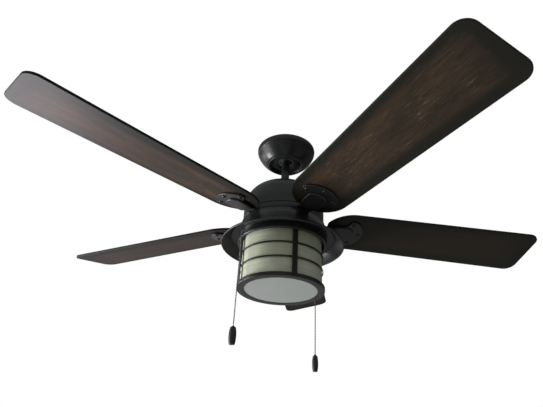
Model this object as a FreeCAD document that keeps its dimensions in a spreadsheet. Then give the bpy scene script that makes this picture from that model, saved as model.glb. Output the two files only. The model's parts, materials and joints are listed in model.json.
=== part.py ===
import FreeCAD, Part
import math
import os

import Sketcher
from FreeCAD import Placement, Rotation, Vector

# A five-blade ceiling fan with a caged drum light, hung from its ceiling bracket.
# The origin is the middle of the bracket's top face, on the ceiling, with +Z up.
# Heights named "drop" go down from the ceiling. The fan's own pieces are drawn about the
# blade plane, where z is 0, and lowered by blade_plane_drop through their Placement.

os.makedirs("parts", exist_ok=True)
doc = FreeCAD.newDocument("ceiling_fan")
sheet = doc.addObject("Spreadsheet::Sheet", "dims")

SIZES = {
    "overall": [
        ("fan_radius", 660.4, "axis to blade tip, half of a 52 inch span"),
        ("blade_plane_drop", 236, "ceiling to blade plane"),
        ("sheet_wall", 1.5, "pressed steel wall"),
        ("run_gap", 0.4, "gap between pieces that turn past each other"),
        ("fit_gap", 0.1, "radial clearance of still pins and sockets"),
        ("seat_gap", 0.25, "radial clearance of large still rings in their seats"),
    ],
    "ceiling bracket and canopy": [
        ("box_hole_spacing", 88.9, "outlet box screws, 3.5 inch apart"),
        ("box_slot_width", 5, ""),
        ("box_slot_length", 12, ""),
        ("bracket_length", 108, ""),
        ("bracket_width", 38, ""),
        ("bracket_plate", 2.5, ""),
        ("leg_x", 30, "inside face of each leg"),
        ("cradle_radius", 32.5, ""),
        ("cradle_depth", 4.5, ""),
        ("ball_radius", 24, ""),
        ("ball_gap", 0.3, "hanger ball to its cup"),
        ("ball_drop", 23.5, "ceiling to the ball's centre"),
        ("key_width", 3.4, "tab that stops the ball from turning"),
        ("swing_room", 5.85, "rod to the cup's outlet, for its swing"),
        ("canopy_radius", 77.8, ""),
        ("canopy_wall", 1.2, ""),
        ("canopy_rim_height", 21, "rounded rim, down to its groove"),
        ("canopy_lip_radius", 46.7, ""),
        ("canopy_height", 53.4, ""),
        ("canopy_floor_drop", 45.6, "ceiling to the underside of the recessed floor"),
        ("canopy_hole_radius", 24, ""),
        ("canopy_screw_x", 36, ""),
    ],
    "downrod and yoke": [
        ("rod_radius", 10.65, "half inch pipe"),
        ("rod_bore", 7.85, ""),
        ("rod_top_drop", 10, ""),
        ("rod_socket", 92, "blade plane to the rod's lower end"),
        ("yoke_radius", 16, ""),
        ("yoke_flange_radius", 30, ""),
        ("yoke_top", 108.5, ""),
        ("pin_radius", 3, ""),
    ],
    "motor": [
        ("shaft_radius", 7.5, ""),
        ("shaft_bore", 5, ""),
        ("shaft_low", -17, ""),
        ("stator_radius", 60, ""),
        ("core_low", 28, ""),
        ("core_high", 56, ""),
        ("rotor_step", 11.4, "turning band in to the motor's shell"),
        ("rotor_wall", 4, ""),
        ("rotor_split", 34, "where the two bells meet"),
        ("rotor_top", 74, ""),
        ("band_radius", 101.4, "turning band that the irons come out of"),
        ("band_height", 13.5, ""),
        ("bearing_radius", 17.5, ""),
        ("bearing_width", 11, ""),
        ("cover_gap", 1, "turning band to the still cover above it"),
        ("cover_height", 114, ""),
        ("cover_shoulder_step", 3.4, "turning band in to the cover's shoulder"),
    ],
    "blades and irons": [
        ("blade_count", 5, ""),
        ("blade_pitch", 12.66, "degrees"),
        ("blade_azimuth", 5.2, "degrees, first blade"),
        ("blade_tip_width", 150.6, ""),
        ("blade_root_width", 134, ""),
        ("blade_root_gap", 9.6, "turning band to the root's end"),
        ("blade_neck_gap", 6.6, "hood's neck to the root's end"),
        ("blade_shoulder", 64, "length of the rounded root"),
        ("blade_end_width", 52, "straight end of the root"),
        ("blade_corner", 27, "tip corner radius"),
        ("blade_thickness", 5.5, ""),
        ("blade_lift", 1, "underside above the blade plane"),
        ("iron_foot_reach", 41.4, "turning band in to the foot's end"),
        ("iron_bend", 8, "arm's bend to the blade root"),
        ("iron_width", 34, ""),
        ("iron_foot_thickness", 6.5, ""),
        ("iron_arm_thickness", 5, ""),
        ("iron_plate_thickness", 4, ""),
        ("iron_plate_width", 87, ""),
        ("iron_plate_end", 94, "blade root to the plate's rounded end"),
        ("iron_ridge_height", 4, ""),
        ("iron_ridge_width", 48, ""),
        ("blade_screw_side", 35, ""),
        ("blade_screw_near", 64, "blade root to the two side screws"),
        ("blade_screw_far", 83, "blade root to the middle screw"),
        ("screw_hole", 2.6, "screw clearance hole radius"),
    ],
    "hood and fitter": [
        ("hood_neck_step", 3, "turning band to the hood's neck"),
        ("hood_neck_gap", 16.4, "switch housing to the hood's neck"),
        ("hood_top", -3, ""),
        ("hood_floor", -9, "top face of the hood's inner wall"),
        ("hood_overhang", 23.4, "pan's edge out to the hood's rim"),
        ("hood_rim", -60.7, ""),
        ("plate_margin", 8, "switch housing to the mounting plate's edge"),
        ("plate_thickness", 2.5, ""),
        ("housing_radius", 88, ""),
        ("pan_margin", 15.3, "pull chains out to the pan's edge"),
        ("pan_top", -40, ""),
        ("collar_step", 7.55, "bars' seat out to the collar's face"),
        ("collar_low", -59, ""),
        ("chain_clearance", 2, "collar's face out to each pull chain"),
        ("nozzle_reach", 24, "switch housing out to each pull chain"),
        ("chain_radius", 1.6, ""),
        ("eyelet_radius", 3.7, ""),
        ("chain_top", -31.2, ""),
        ("nozzle_height", -34.3, "axis of the switch nozzles"),
        ("fan_chain_azimuth", 205.8, "degrees"),
        ("light_chain_azimuth", 35.2, "degrees"),
        ("fan_chain_low", -273.3, ""),
        ("light_chain_low", -296.8, ""),
        ("pendant_height", 40, ""),
        ("pendant_radius", 7.2, ""),
        ("reverse_azimuth", 100, "degrees"),
        ("reverse_offset", 7.5, "collar's face out to the reversing slide"),
        ("reverse_travel", 6, ""),
    ],
    "light": [
        ("glass_radius", 96, ""),
        ("glass_wall", 3, ""),
        ("glass_top", -50, ""),
        ("shade_bottom", -173, "underside of the bottom ring"),
        ("cage_gap", 2, "glass to the hoops"),
        ("hoop_wall", 2.2, ""),
        ("hoop_height", 3.5, ""),
        ("hoop_upper", -90, ""),
        ("hoop_lower", -125, ""),
        ("bar_width", 12.6, ""),
        ("bar_wall", 2, ""),
        ("bar_count", 4, ""),
        ("bar_azimuth", 12.6, "degrees"),
        ("ring_height", 9, ""),
        ("ring_lip", 6.7, "bottom ring's lip under the glass"),
        ("lamp_spacing", 80, ""),
        ("lamp_radius", 25, ""),
        ("lamp_low", -164, ""),
        ("socket_height", 30, ""),
    ],
}


def fill_sheet():
    row = 1
    for group, entries in SIZES.items():
        sheet.set(f"A{row}", group)
        row += 1
        for alias, value, note in entries:
            sheet.set(f"A{row}", alias)
            sheet.set(f"B{row}", str(value))
            sheet.set(f"C{row}", note)
            sheet.setAlias(f"B{row}", alias)
            row += 1
    doc.recompute()


fill_sheet()
FAN_LEVEL = "-dims.blade_plane_drop"
CEILING_LEVEL = "0"

# Radii that follow from a neighbour's, each a named step further in or out.
HOOD_NECK = "max(dims.band_radius + dims.hood_neck_step; dims.housing_radius + dims.hood_neck_gap)"
BLADE_ROOT = f"max(dims.band_radius + dims.blade_root_gap; {HOOD_NECK} + dims.blade_neck_gap)"
IRON_FOOT = "(dims.band_radius - dims.iron_foot_reach)"
IRON_BEND = f"({BLADE_ROOT} - dims.iron_bend)"
SCREWS_NEAR = f"({BLADE_ROOT} + dims.blade_screw_near)"
SCREW_FAR = f"({BLADE_ROOT} + dims.blade_screw_far)"
PLATE_END = f"({BLADE_ROOT} + dims.iron_plate_end)"
COVER_SHOULDER = "(dims.band_radius - dims.cover_shoulder_step)"
ROTOR = "(dims.band_radius - dims.rotor_step)"
MOUNTING_PLATE = "(dims.housing_radius + dims.plate_margin)"
HOOP_INSIDE = "(dims.glass_radius + dims.cage_gap)"
HOOP_OUTSIDE = f"({HOOP_INSIDE} + dims.hoop_wall)"
BAR_SEAT = f"({HOOP_OUTSIDE} + dims.bar_wall + dims.seat_gap)"
COLLAR = f"({BAR_SEAT} + dims.collar_step)"
CHAIN_CIRCLE = f"max({COLLAR} + dims.chain_clearance; dims.housing_radius + dims.nozzle_reach)"
REVERSE_CIRCLE = f"({COLLAR} + dims.reverse_offset)"
PAN = f"({CHAIN_CIRCLE} + dims.pan_margin)"
HOOD_RIM = f"({PAN} + dims.hood_overhang)"
RING_OPENING = "(dims.glass_radius - dims.glass_wall - dims.ring_lip)"


def size(alias):
    return float(sheet.get(alias))


def number(expression):
    return float(sheet.evalExpression(expression))


# ---------------------------------------------------------------- drawing helpers

def new_body(name, level=FAN_LEVEL, azimuth="0"):
    body = doc.addObject("PartDesign::Body", name)
    body.Label = name
    body.Placement = Placement(Vector(0, 0, 0), Rotation(Vector(0, 0, 1), 0))
    body.setExpression("Placement.Base.z", level)
    body.setExpression("Placement.Rotation.Angle", azimuth)
    return body


def origin_plane(body, role):
    return next(item for item in body.Origin.OriginFeatures if item.Role == role)


def attach(sketch, body, role):
    sketch.AttachmentSupport = [(origin_plane(body, role), "")]
    sketch.MapMode = "FlatFace"


def pin_point(sketch, geometry, end, x, y):
    for kind, expression in (("DistanceX", x), ("DistanceY", y)):
        index = sketch.addConstraint(
            Sketcher.Constraint(kind, -1, 1, geometry, end, number(expression)))
        name = f"{kind[-1].lower()}{index}"
        sketch.renameConstraint(index, name)
        sketch.setExpression(f"Constraints.{name}", expression)


def draw_outline(sketch, corners):
    """Closed outline. A corner is (x, y); (x, y, "via") is the middle of an arc."""
    place = {corner: Vector(number(corner[0]), number(corner[1]), 0) for corner in corners}
    first = None
    last = None
    for index, start in enumerate(corners):
        if len(start) == 3:
            continue
        following = corners[(index + 1) % len(corners)]
        if len(following) == 3:
            finish = corners[(index + 2) % len(corners)]
            bend = (place[following] - place[start]).cross(place[finish] - place[following])
            if bend.z > 0:
                arc = Part.Arc(place[start], place[following], place[finish])
                start_end, finish_end = 1, 2
            else:
                arc = Part.Arc(place[finish], place[following], place[start])
                start_end, finish_end = 2, 1
            edge = sketch.addGeometry(arc, False)
            middle = sketch.addGeometry(Part.Point(place[following]), True)
            pin_point(sketch, middle, 1, following[0], following[1])
            sketch.addConstraint(Sketcher.Constraint("PointOnObject", middle, 1, edge))
        else:
            edge = sketch.addGeometry(Part.LineSegment(place[start], place[following]), False)
            start_end, finish_end = 1, 2
        pin_point(sketch, edge, start_end, start[0], start[1])
        if last is not None:
            sketch.addConstraint(Sketcher.Constraint("Coincident", *last, edge, start_end))
        else:
            first = (edge, start_end)
        last = (edge, finish_end)
    sketch.addConstraint(Sketcher.Constraint("Coincident", *last, *first))


def turned_body(name, corners, level=FAN_LEVEL, azimuth="0"):
    """A body of revolution about Z from an outline of radius and height."""
    body = new_body(name, level, azimuth)
    sketch = body.newObject("Sketcher::SketchObject", name + "_profile")
    attach(sketch, body, "XZ_Plane")
    draw_outline(sketch, corners)
    turn = body.newObject("PartDesign::Revolution", name + "_turn")
    turn.Profile = sketch
    turn.ReferenceAxis = (sketch, ["V_Axis"])
    turn.Angle = 360
    return body


def ring_corners(inner, outer, low, high):
    return [(inner, low), (outer, low), (outer, high), (inner, high)]


def turned_ring(name, inner, outer, low, high, level=FAN_LEVEL):
    return turned_body(name, ring_corners(inner, outer, low, high), level)


def flat_sketch(body, name, height):
    sketch = body.newObject("Sketcher::SketchObject", name)
    attach(sketch, body, "XY_Plane")
    sketch.setExpression("AttachmentOffset.Base.z", height)
    return sketch


def draw_circle(sketch, x, y, radius):
    circle = sketch.addGeometry(
        Part.Circle(Vector(number(x), number(y), 0), Vector(0, 0, 1), number(radius)), False)
    pin_point(sketch, circle, 3, x, y)
    index = sketch.addConstraint(Sketcher.Constraint("Radius", circle, number(radius)))
    name = f"radius{index}"
    sketch.renameConstraint(index, name)
    sketch.setExpression(f"Constraints.{name}", radius)


def cut_check(body, before, name):
    doc.recompute()
    if body.Shape.Volume >= before - 1e-3:
        raise RuntimeError(name + " cuts nothing")


def drill(body, name, places, radius, height="0"):
    """Holes along Z right through the body, at the places given as (x, y)."""
    doc.recompute()
    before = body.Shape.Volume
    sketch = flat_sketch(body, name + "_places", height)
    for x, y in places:
        draw_circle(sketch, x, y, radius)
    pocket = body.newObject("PartDesign::Pocket", name)
    pocket.Profile = sketch
    pocket.Type = "ThroughAll"
    pocket.Midplane = True
    cut_check(body, before, name)
    return pocket


def on_circle(radius, azimuth):
    """Expressions for a point at a radius and an azimuth in degrees."""
    return (f"({radius}) * cos({azimuth})", f"({radius}) * sin({azimuth})")


def circle_places(radius, count, start=0):
    return [on_circle(radius, start + 360 * turn / count) for turn in range(count)]


def pad(body, name, sketch, length, reverse=False):
    feature = body.newObject("PartDesign::Pad", name)
    feature.Profile = sketch
    feature.setExpression("Length", length)
    feature.Reversed = reverse
    return feature


def screw_shape(place, axis, head_radius, head_height, shank_radius, shank_length):
    """A pan-head screw: its head starts at place and goes against axis, its shank along it."""
    head = Part.makeCylinder(head_radius, head_height, place, -axis)
    crown = head.makeFillet(head_height * 0.4, [head.Edges[0]])
    shank = Part.makeCylinder(shank_radius, shank_length, place, axis)
    return crown.fuse(shank).removeSplitter()


def group_node(name, shapes):
    node = doc.addObject("Part::Feature", name)
    node.Label = name
    node.Shape = Part.makeCompound(shapes) if len(shapes) > 1 else shapes[0]
    node.Placement = Placement()
    return node


def fan_point(radius, azimuth, height):
    angle = math.radians(azimuth)
    return Vector(radius * math.cos(angle), radius * math.sin(angle),
                  height - size("blade_plane_drop"))


# ---------------------------------------------------------------- ceiling bracket and canopy

def box_part(name, corner, lengths):
    box = doc.addObject("Part::Box", name)
    for prop, expression in zip(("Length", "Width", "Height"), lengths):
        box.setExpression(prop, expression)
    for axis, expression in zip("xyz", corner):
        box.setExpression(f"Placement.Base.{axis}", expression)
    return box


def cylinder_part(name, radius, height, x, y, z):
    post = doc.addObject("Part::Cylinder", name)
    post.setExpression("Radius", radius)
    post.setExpression("Height", height)
    for axis, expression in zip("xyz", (x, y, z)):
        post.setExpression(f"Placement.Base.{axis}", expression)
    return post


def sphere_part(name, radius, z):
    ball = doc.addObject("Part::Sphere", name)
    ball.setExpression("Radius", radius)
    ball.setExpression("Placement.Base.z", z)
    return ball


def cut_part(name, base, tool):
    cut = doc.addObject("Part::Cut", name)
    cut.Base = base
    cut.Tool = tool
    return cut


def fuse_parts(name, shapes):
    joined = doc.addObject("Part::MultiFuse", name)
    joined.Shapes = shapes
    joined.Refine = True
    return joined


def make_hanger_bracket():
    legs_low = "-dims.canopy_floor_drop + dims.canopy_wall"
    plate = box_part("bracket_top",
                     ("-dims.bracket_length / 2", "-dims.bracket_width / 2", "-dims.bracket_plate"),
                     ("dims.bracket_length", "dims.bracket_width", "dims.bracket_plate"))
    pieces = [plate]
    for side, edge in (("east", "dims.leg_x"), ("west", "-dims.leg_x - dims.bracket_plate")):
        pieces.append(box_part(f"leg_{side}", (edge, "-14", legs_low),
                               ("dims.bracket_plate", "28", f"-({legs_low})")))
    for side, edge in (("east", "dims.leg_x"), ("west", "-dims.canopy_screw_x - 6")):
        pieces.append(box_part(f"ear_{side}", (edge, "-8", legs_low),
                               ("dims.canopy_screw_x + 6 - dims.leg_x", "16", "2")))
    cradle_low = "-dims.ball_drop - 18.5"
    outlet = "dims.rod_radius + dims.swing_room"
    pieces.append(cylinder_part("cradle_disc", "dims.cradle_radius", "dims.cradle_depth",
                                "0", "0", cradle_low))
    blank = fuse_parts("bracket_blank", pieces)
    tools = [
        sphere_part("cup", "dims.ball_radius + dims.ball_gap", "-dims.ball_drop"),
        cylinder_part("cup_outlet", outlet, "dims.cradle_depth + 2", "0", "0",
                      cradle_low + " - 1"),
        box_part("rod_slot", ("-dims.rod_radius - 1.5", "0", cradle_low + " - 1"),
                 ("2 * dims.rod_radius + 3", "dims.cradle_radius + 2", "dims.cradle_depth + 2")),
    ]
    for side, x in (("east", "dims.canopy_screw_x"), ("west", "-dims.canopy_screw_x")):
        tools.append(cylinder_part(f"ear_hole_{side}", "1.95", "8", x, "0", legs_low + " - 2"))
    for side, sign in (("east", ""), ("west", "-")):
        x = f"{sign}dims.box_hole_spacing / 2"
        reach = "(dims.box_slot_length - dims.box_slot_width) / 2"
        tools.append(box_part(f"box_slot_{side}",
                              (f"{x} - {reach}", "-dims.box_slot_width / 2",
                               "-dims.bracket_plate - 1"),
                              ("dims.box_slot_length - dims.box_slot_width",
                               "dims.box_slot_width", "dims.bracket_plate + 2")))
        for end, shift in (("in", "-"), ("out", "+")):
            tools.append(cylinder_part(f"box_slot_{side}_{end}", "dims.box_slot_width / 2",
                                       "dims.bracket_plate + 2", f"{x} {shift} {reach}", "0",
                                       "-dims.bracket_plate - 1"))
    tools.append(cylinder_part("wire_hole", "14", "dims.bracket_plate + 2", "0", "0",
                               "-dims.bracket_plate - 1"))
    shell = cut_part("bracket_shell", blank, fuse_parts("bracket_cuts", tools))
    key_block = box_part("key_block", ("-dims.key_width / 2", "-dims.ball_radius", cradle_low),
                         ("dims.key_width", f"dims.ball_radius - ({outlet})",
                          "dims.cradle_depth"))
    key = cut_part("key_tab", key_block,
                   sphere_part("key_relief", "dims.ball_radius - 2.7", "-dims.ball_drop"))
    bracket = fuse_parts("hanger_bracket", [shell, key])
    bracket.Label = "hanger_bracket"
    return bracket


def make_canopy():
    wall = "dims.canopy_wall"
    top = "dims.canopy_radius"
    lip = "dims.canopy_lip_radius"
    height = "dims.canopy_height"
    rim = "dims.canopy_rim_height"
    corners = [
        (f"{top} - 5.3", "0"),
        (f"{top} - 1.2", f"-{rim} * 0.15", "via"),
        (top, f"-{rim} * 0.4"),
        (f"{top} - 0.6", f"-{rim} * 0.69", "via"),
        (f"{top} - 2.6", f"-{rim} * 0.92"),
        (f"{top} - 3.7", f"-{rim} * 0.95"),
        (f"{top} - 3.7", f"-{rim}"),
        (f"{top} - 11", f"-{height} * 0.64", "via"),
        (f"{lip} + 3.3", f"-{height} + 2.9"),
        (f"{lip} + 0.3", f"-{height} + 2.3"),
        (lip, f"-{height} + 0.9"),
        (f"{lip} - 0.9", f"-{height}"),
        (f"{lip} - 2.4", f"-{height}"),
        (f"{lip} - 3.1", f"-{height} + 0.7"),
        (f"{lip} - 4.4", "-dims.canopy_floor_drop"),
        ("dims.canopy_hole_radius", "-dims.canopy_floor_drop"),
        ("dims.canopy_hole_radius", f"-dims.canopy_floor_drop + {wall}"),
        (f"{lip} - 3.4", f"-dims.canopy_floor_drop + {wall}"),
        (f"{lip} - 2.1", f"-{height} + 3.4"),
        (f"{lip} + 2.4", f"-{height} + 4.3"),
        (f"{top} - 11 - {wall} * 0.84", f"-{height} * 0.64 + {wall} * 0.54", "via"),
        (f"{top} - 3.7 - {wall}", f"-{rim}"),
        (f"{top} - 1.6 - {wall}", f"-{rim} * 0.69", "via"),
        (f"{top} - {wall}", f"-{rim} * 0.4"),
        (f"{top} - 1.2 - {wall}", f"-{rim} * 0.2", "via"),
        (f"{top} - 5.3 - {wall}", "0"),
    ]
    canopy = turned_body("canopy", corners, CEILING_LEVEL)
    drill(canopy, "canopy_screw_holes",
          [("dims.canopy_screw_x", "0"), ("-dims.canopy_screw_x", "0")], "2.2",
          "-dims.canopy_floor_drop")
    return canopy


def make_canopy_screws():
    screws = []
    for x in (-size("canopy_screw_x"), size("canopy_screw_x")):
        place = Vector(x, 0, -size("canopy_floor_drop"))
        screws.append(screw_shape(place, Vector(0, 0, 1), 4, 2, 1.9, 7))
    return group_node("canopy_screws", screws)


# ---------------------------------------------------------------- hanger ball and downrod

def make_hanger_ball():
    blank = sphere_part("ball_blank", "dims.ball_radius", "-dims.ball_drop")
    band = cylinder_part("ball_band", "dims.ball_radius + 1", "32.3", "0", "0",
                         "-dims.ball_drop - 20.8")
    trimmed = doc.addObject("Part::Common", "ball_trimmed")
    trimmed.Base = blank
    trimmed.Tool = band
    groove = box_part("key_groove",
                      ("-dims.key_width / 2 - 0.8", "-dims.ball_radius - 1",
                       "-dims.ball_drop - dims.ball_radius"),
                      ("dims.key_width + 1.6", "dims.ball_radius + 1", "2 * dims.ball_radius"))
    groove_tool = cut_part("key_groove_tool", groove,
                           sphere_part("groove_floor", "dims.ball_radius - 3.2",
                                       "-dims.ball_drop"))
    bore = cylinder_part("ball_bore", "dims.rod_radius + dims.fit_gap", "60", "0", "0",
                         "-dims.ball_drop - 30")
    pin_hole = cylinder_part("ball_pin_hole", "dims.pin_radius + dims.fit_gap", "60",
                             "-30", "0", "-dims.ball_drop")
    pin_hole.Placement = Placement(pin_hole.Placement.Base, Rotation(Vector(0, 1, 0), 90))
    ball = cut_part("hanger_ball", trimmed,
                    fuse_parts("ball_cuts", [groove_tool, bore, pin_hole]))
    ball.Label = "hanger_ball"
    return ball


def cross_pin(name, length, z):
    pin = cylinder_part(name, "dims.pin_radius", length, f"-({length}) / 2", "0", z)
    pin.Placement = Placement(pin.Placement.Base, Rotation(Vector(0, 1, 0), 90))
    pin.Label = name
    return pin


def make_downrod():
    low = "-dims.blade_plane_drop + dims.rod_socket"
    body = turned_ring("downrod", "dims.rod_bore", "dims.rod_radius", low,
                       "-dims.rod_top_drop", CEILING_LEVEL)
    doc.recompute()
    before = body.Shape.Volume
    sketch = body.newObject("Sketcher::SketchObject", "rod_pin_places")
    attach(sketch, body, "YZ_Plane")
    for height in ("-dims.ball_drop", f"{low} + 10"):
        draw_circle(sketch, "0", height, "dims.pin_radius + dims.fit_gap")
    holes = body.newObject("PartDesign::Pocket", "rod_pin_holes")
    holes.Profile = sketch
    holes.Type = "ThroughAll"
    holes.Midplane = True
    cut_check(body, before, "rod_pin_holes")
    return body


def make_motor_yoke():
    bore = "dims.rod_radius + dims.fit_gap"
    neck = "dims.shaft_radius + dims.fit_gap"
    body = turned_body("motor_yoke", [
        (neck, "dims.rod_socket - 10"),
        ("dims.yoke_radius", "dims.rod_socket - 10"),
        ("dims.yoke_radius", "dims.yoke_top - 4"),
        ("dims.yoke_flange_radius", "dims.yoke_top - 4"),
        ("dims.yoke_flange_radius", "dims.yoke_top"),
        (bore, "dims.yoke_top"),
        (bore, "dims.rod_socket"),
        (neck, "dims.rod_socket"),
    ])
    doc.recompute()
    before = body.Shape.Volume
    for role, name, radius in (("YZ_Plane", "yoke_pin_hole", "dims.pin_radius + dims.fit_gap"),
                               ("XZ_Plane", "yoke_screw_hole", "2.55")):
        sketch = body.newObject("Sketcher::SketchObject", name + "_place")
        attach(sketch, body, role)
        height = "dims.rod_socket + 10" if role == "YZ_Plane" else "dims.rod_socket + 5"
        draw_circle(sketch, "0", height, radius)
        hole = body.newObject("PartDesign::Pocket", name)
        hole.Profile = sketch
        hole.Type = "ThroughAll"
        hole.Midplane = True
    cut_check(body, before, "yoke holes")
    drill(body, "yoke_flange_holes", circle_places("22", 3, 90), "1.9", "dims.yoke_top")
    return body


def make_yoke_set_screws():
    z = size("rod_socket") + 5 - size("blade_plane_drop")
    length = size("yoke_radius") - size("rod_radius") + 2
    screws = []
    for side in (1, -1):
        start = Vector(0, side * size("rod_radius"), z)
        screws.append(Part.makeCylinder(2.5, length, start, Vector(0, side, 0)))
    return group_node("yoke_set_screws", screws)


# ---------------------------------------------------------------- motor

def make_motor():
    turned_ring("motor_shaft", "dims.shaft_bore", "dims.shaft_radius", "dims.shaft_low",
                "dims.rod_socket")
    turned_ring("stator_core", "dims.shaft_radius", "dims.stator_radius", "dims.core_low",
                "dims.core_high")
    windings = []
    for low in (size("core_low") - 9, size("core_high")):
        outer = Part.makeCylinder(size("stator_radius") - 6, 9,
                                  fan_point(0, 0, low), Vector(0, 0, 1))
        inner = Part.makeCylinder(size("stator_radius") - 32, 9,
                                  fan_point(0, 0, low), Vector(0, 0, 1))
        coil = outer.cut(inner)
        windings.append(coil.makeFillet(3, coil.Edges))
    group_node("stator_windings", windings)
    turned_ring("rotor_core", "dims.stator_radius + dims.run_gap",
                f"{ROTOR} - dims.rotor_wall - dims.seat_gap",
                "dims.core_low", "dims.core_high")
    hub = "dims.bearing_radius"
    seat = f"{hub} + 4"
    inside = f"{ROTOR} - dims.rotor_wall"
    bore = "dims.shaft_radius + 0.03"
    race = f"{hub} - dims.fit_gap"
    turned_ring("lower_bearing", bore, race, "3", "3 + dims.bearing_width")
    turned_ring("upper_bearing", bore, race, "dims.rotor_top - 6",
                "dims.rotor_top - 6 + dims.bearing_width")
    turned_body("rotor_upper_bell", [
        (ROTOR, "dims.rotor_split"),
        (ROTOR, "dims.rotor_top - 12"),
        (f"{ROTOR} - 3.5", "dims.rotor_top - 3.5", "via"),
        (f"{ROTOR} - 12", "dims.rotor_top"),
        (seat, "dims.rotor_top"),
        (seat, "dims.rotor_top + 6.5"),
        (f"{hub} - 5", "dims.rotor_top + 6.5"),
        (f"{hub} - 5", "dims.rotor_top + 5"),
        (hub, "dims.rotor_top + 5"),
        (hub, "dims.rotor_top - 6"),
        (seat, "dims.rotor_top - 6"),
        (seat, "dims.rotor_top - dims.rotor_wall"),
        (f"{inside} - 10", "dims.rotor_top - dims.rotor_wall"),
        (f"{inside} - 2.6", "dims.rotor_top - dims.rotor_wall - 3", "via"),
        (inside, "dims.rotor_top - 14"),
        (inside, "dims.rotor_split"),
    ])
    make_lower_bell(hub, seat, inside)


def make_lower_bell(hub, seat, inside):
    floor = "dims.iron_foot_thickness"
    bell = turned_body("rotor_lower_bell", [
        (f"{hub} - 5", "1.5"),
        (seat, "1.5"),
        (seat, floor),
        ("dims.band_radius - 5", floor),
        ("dims.band_radius - 5", "0"),
        ("dims.band_radius", "0"),
        ("dims.band_radius", "dims.band_height"),
        (ROTOR, "dims.band_height"),
        (ROTOR, "dims.rotor_split"),
        (inside, "dims.rotor_split"),
        (inside, "dims.band_height"),
        (seat, "dims.band_height"),
        (seat, "3 + dims.bearing_width"),
        (hub, "3 + dims.bearing_width"),
        (hub, "3"),
        (f"{hub} - 5", "3"),
    ])
    doc.recompute()
    before = bell.Shape.Volume
    slots = flat_sketch(bell, "iron_slot_outline", "0")
    half = "dims.iron_width / 2 + 0.4"
    draw_outline(slots, [("dims.band_radius - 8", f"-({half})"),
                         ("dims.band_radius + 2", f"-({half})"),
                         ("dims.band_radius + 2", half),
                         ("dims.band_radius - 8", half)])
    first_slot = pad_cut(bell, "iron_slot", slots, floor)
    repeat = bell.newObject("PartDesign::PolarPattern", "iron_slots")
    repeat.Originals = [first_slot]
    repeat.Axis = (slots, ["N_Axis"])
    repeat.Angle = 360
    repeat.setExpression("Occurrences", "dims.blade_count")
    bell.Tip = repeat
    cut_check(bell, before, "iron slots")
    count = int(size("blade_count"))
    places = []
    for radius in iron_screw_radii():
        places += [on_circle(radius, 360 * turn / count) for turn in range(count)]
    drill(bell, "iron_screw_holes", places, "2.45", floor)
    bell.setExpression("Placement.Rotation.Angle", "dims.blade_azimuth")
    return bell


def pad_cut(body, name, sketch, depth):
    pocket = body.newObject("PartDesign::Pocket", name)
    pocket.Profile = sketch
    pocket.setExpression("Length", depth)
    pocket.Reversed = True
    return pocket


def make_motor_cover():
    wall = "dims.sheet_wall"
    top = "dims.cover_height"
    shoulder = COVER_SHOULDER
    skirt = "dims.band_radius"
    low = "dims.band_height + dims.cover_gap"
    hole = "dims.rod_radius + 1.2"
    cover = turned_body("motor_cover", [
        (hole, f"{top} + 1.2"),
        (f"{hole} + 1.4", f"{top} + 0.4"),
        ("26", top),
        ("50", f"{top} - 7.6", "via"),
        (f"{shoulder} - 28", f"{top} - 17"),
        (f"{shoulder} - 9.5", f"{top} - 32.5", "via"),
        (shoulder, f"{top} - 56"),
        (f"{shoulder} + 2.8", f"{top} - 71", "via"),
        (skirt, f"{top} - 87"),
        (skirt, low),
        (f"{skirt} - {wall}", low),
        (f"{skirt} - {wall}", f"{top} - 87"),
        (f"{shoulder} + 2.8 - {wall}", f"{top} - 71", "via"),
        (f"{shoulder} - {wall}", f"{top} - 56.3"),
        (f"{shoulder} - 9.5 - {wall} * 0.8", f"{top} - 32.5 - {wall} * 0.6", "via"),
        (f"{shoulder} - 28 - {wall} * 0.5", f"{top} - 17 - {wall} * 0.9"),
        ("50", f"{top} - 7.6 - {wall}", "via"),
        ("31", "dims.yoke_top"),
        (hole, "dims.yoke_top"),
    ])
    drill(cover, "cover_screw_holes", circle_places("22", 3, 90), "2", top)
    return cover


def make_cover_screws():
    screws = []
    for azimuth in (90, 210, 330):
        place = fan_point(22, azimuth, size("cover_height") + 0.2)
        screws.append(screw_shape(place, Vector(0, 0, -1), 3.6, 2, 1.85,
                                  size("cover_height") - size("yoke_top") + 4))
    return group_node("cover_screws", screws)


# ---------------------------------------------------------------- blades and blade irons

def blade_azimuths():
    count = int(size("blade_count"))
    return [(turn + 1, f"dims.blade_azimuth + {360 * turn / count}") for turn in range(count)]


def iron_screw_radii():
    return (f"{IRON_FOOT} + 11", f"{IRON_FOOT} + 27")


def blade_screw_places():
    return [(SCREWS_NEAR, "dims.blade_screw_side"),
            (SCREWS_NEAR, "-dims.blade_screw_side"),
            (SCREW_FAR, "0")]


def pitched_sketch(body, name, height):
    """A sketch on the plane of the pitched blade, a height above the pitch axis."""
    sketch = body.newObject("Sketcher::SketchObject", name)
    attach(sketch, body, "XY_Plane")
    sketch.AttachmentOffset = Placement(Vector(), Rotation(Vector(1, 0, 0), -1))
    sketch.setExpression("AttachmentOffset.Rotation.Axis.x", "-1")
    sketch.setExpression("AttachmentOffset.Rotation.Angle", "dims.blade_pitch")
    sketch.setExpression("AttachmentOffset.Base.y", f"({height}) * sin(dims.blade_pitch)")
    sketch.setExpression("AttachmentOffset.Base.z", f"({height}) * cos(dims.blade_pitch)")
    return sketch


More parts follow.
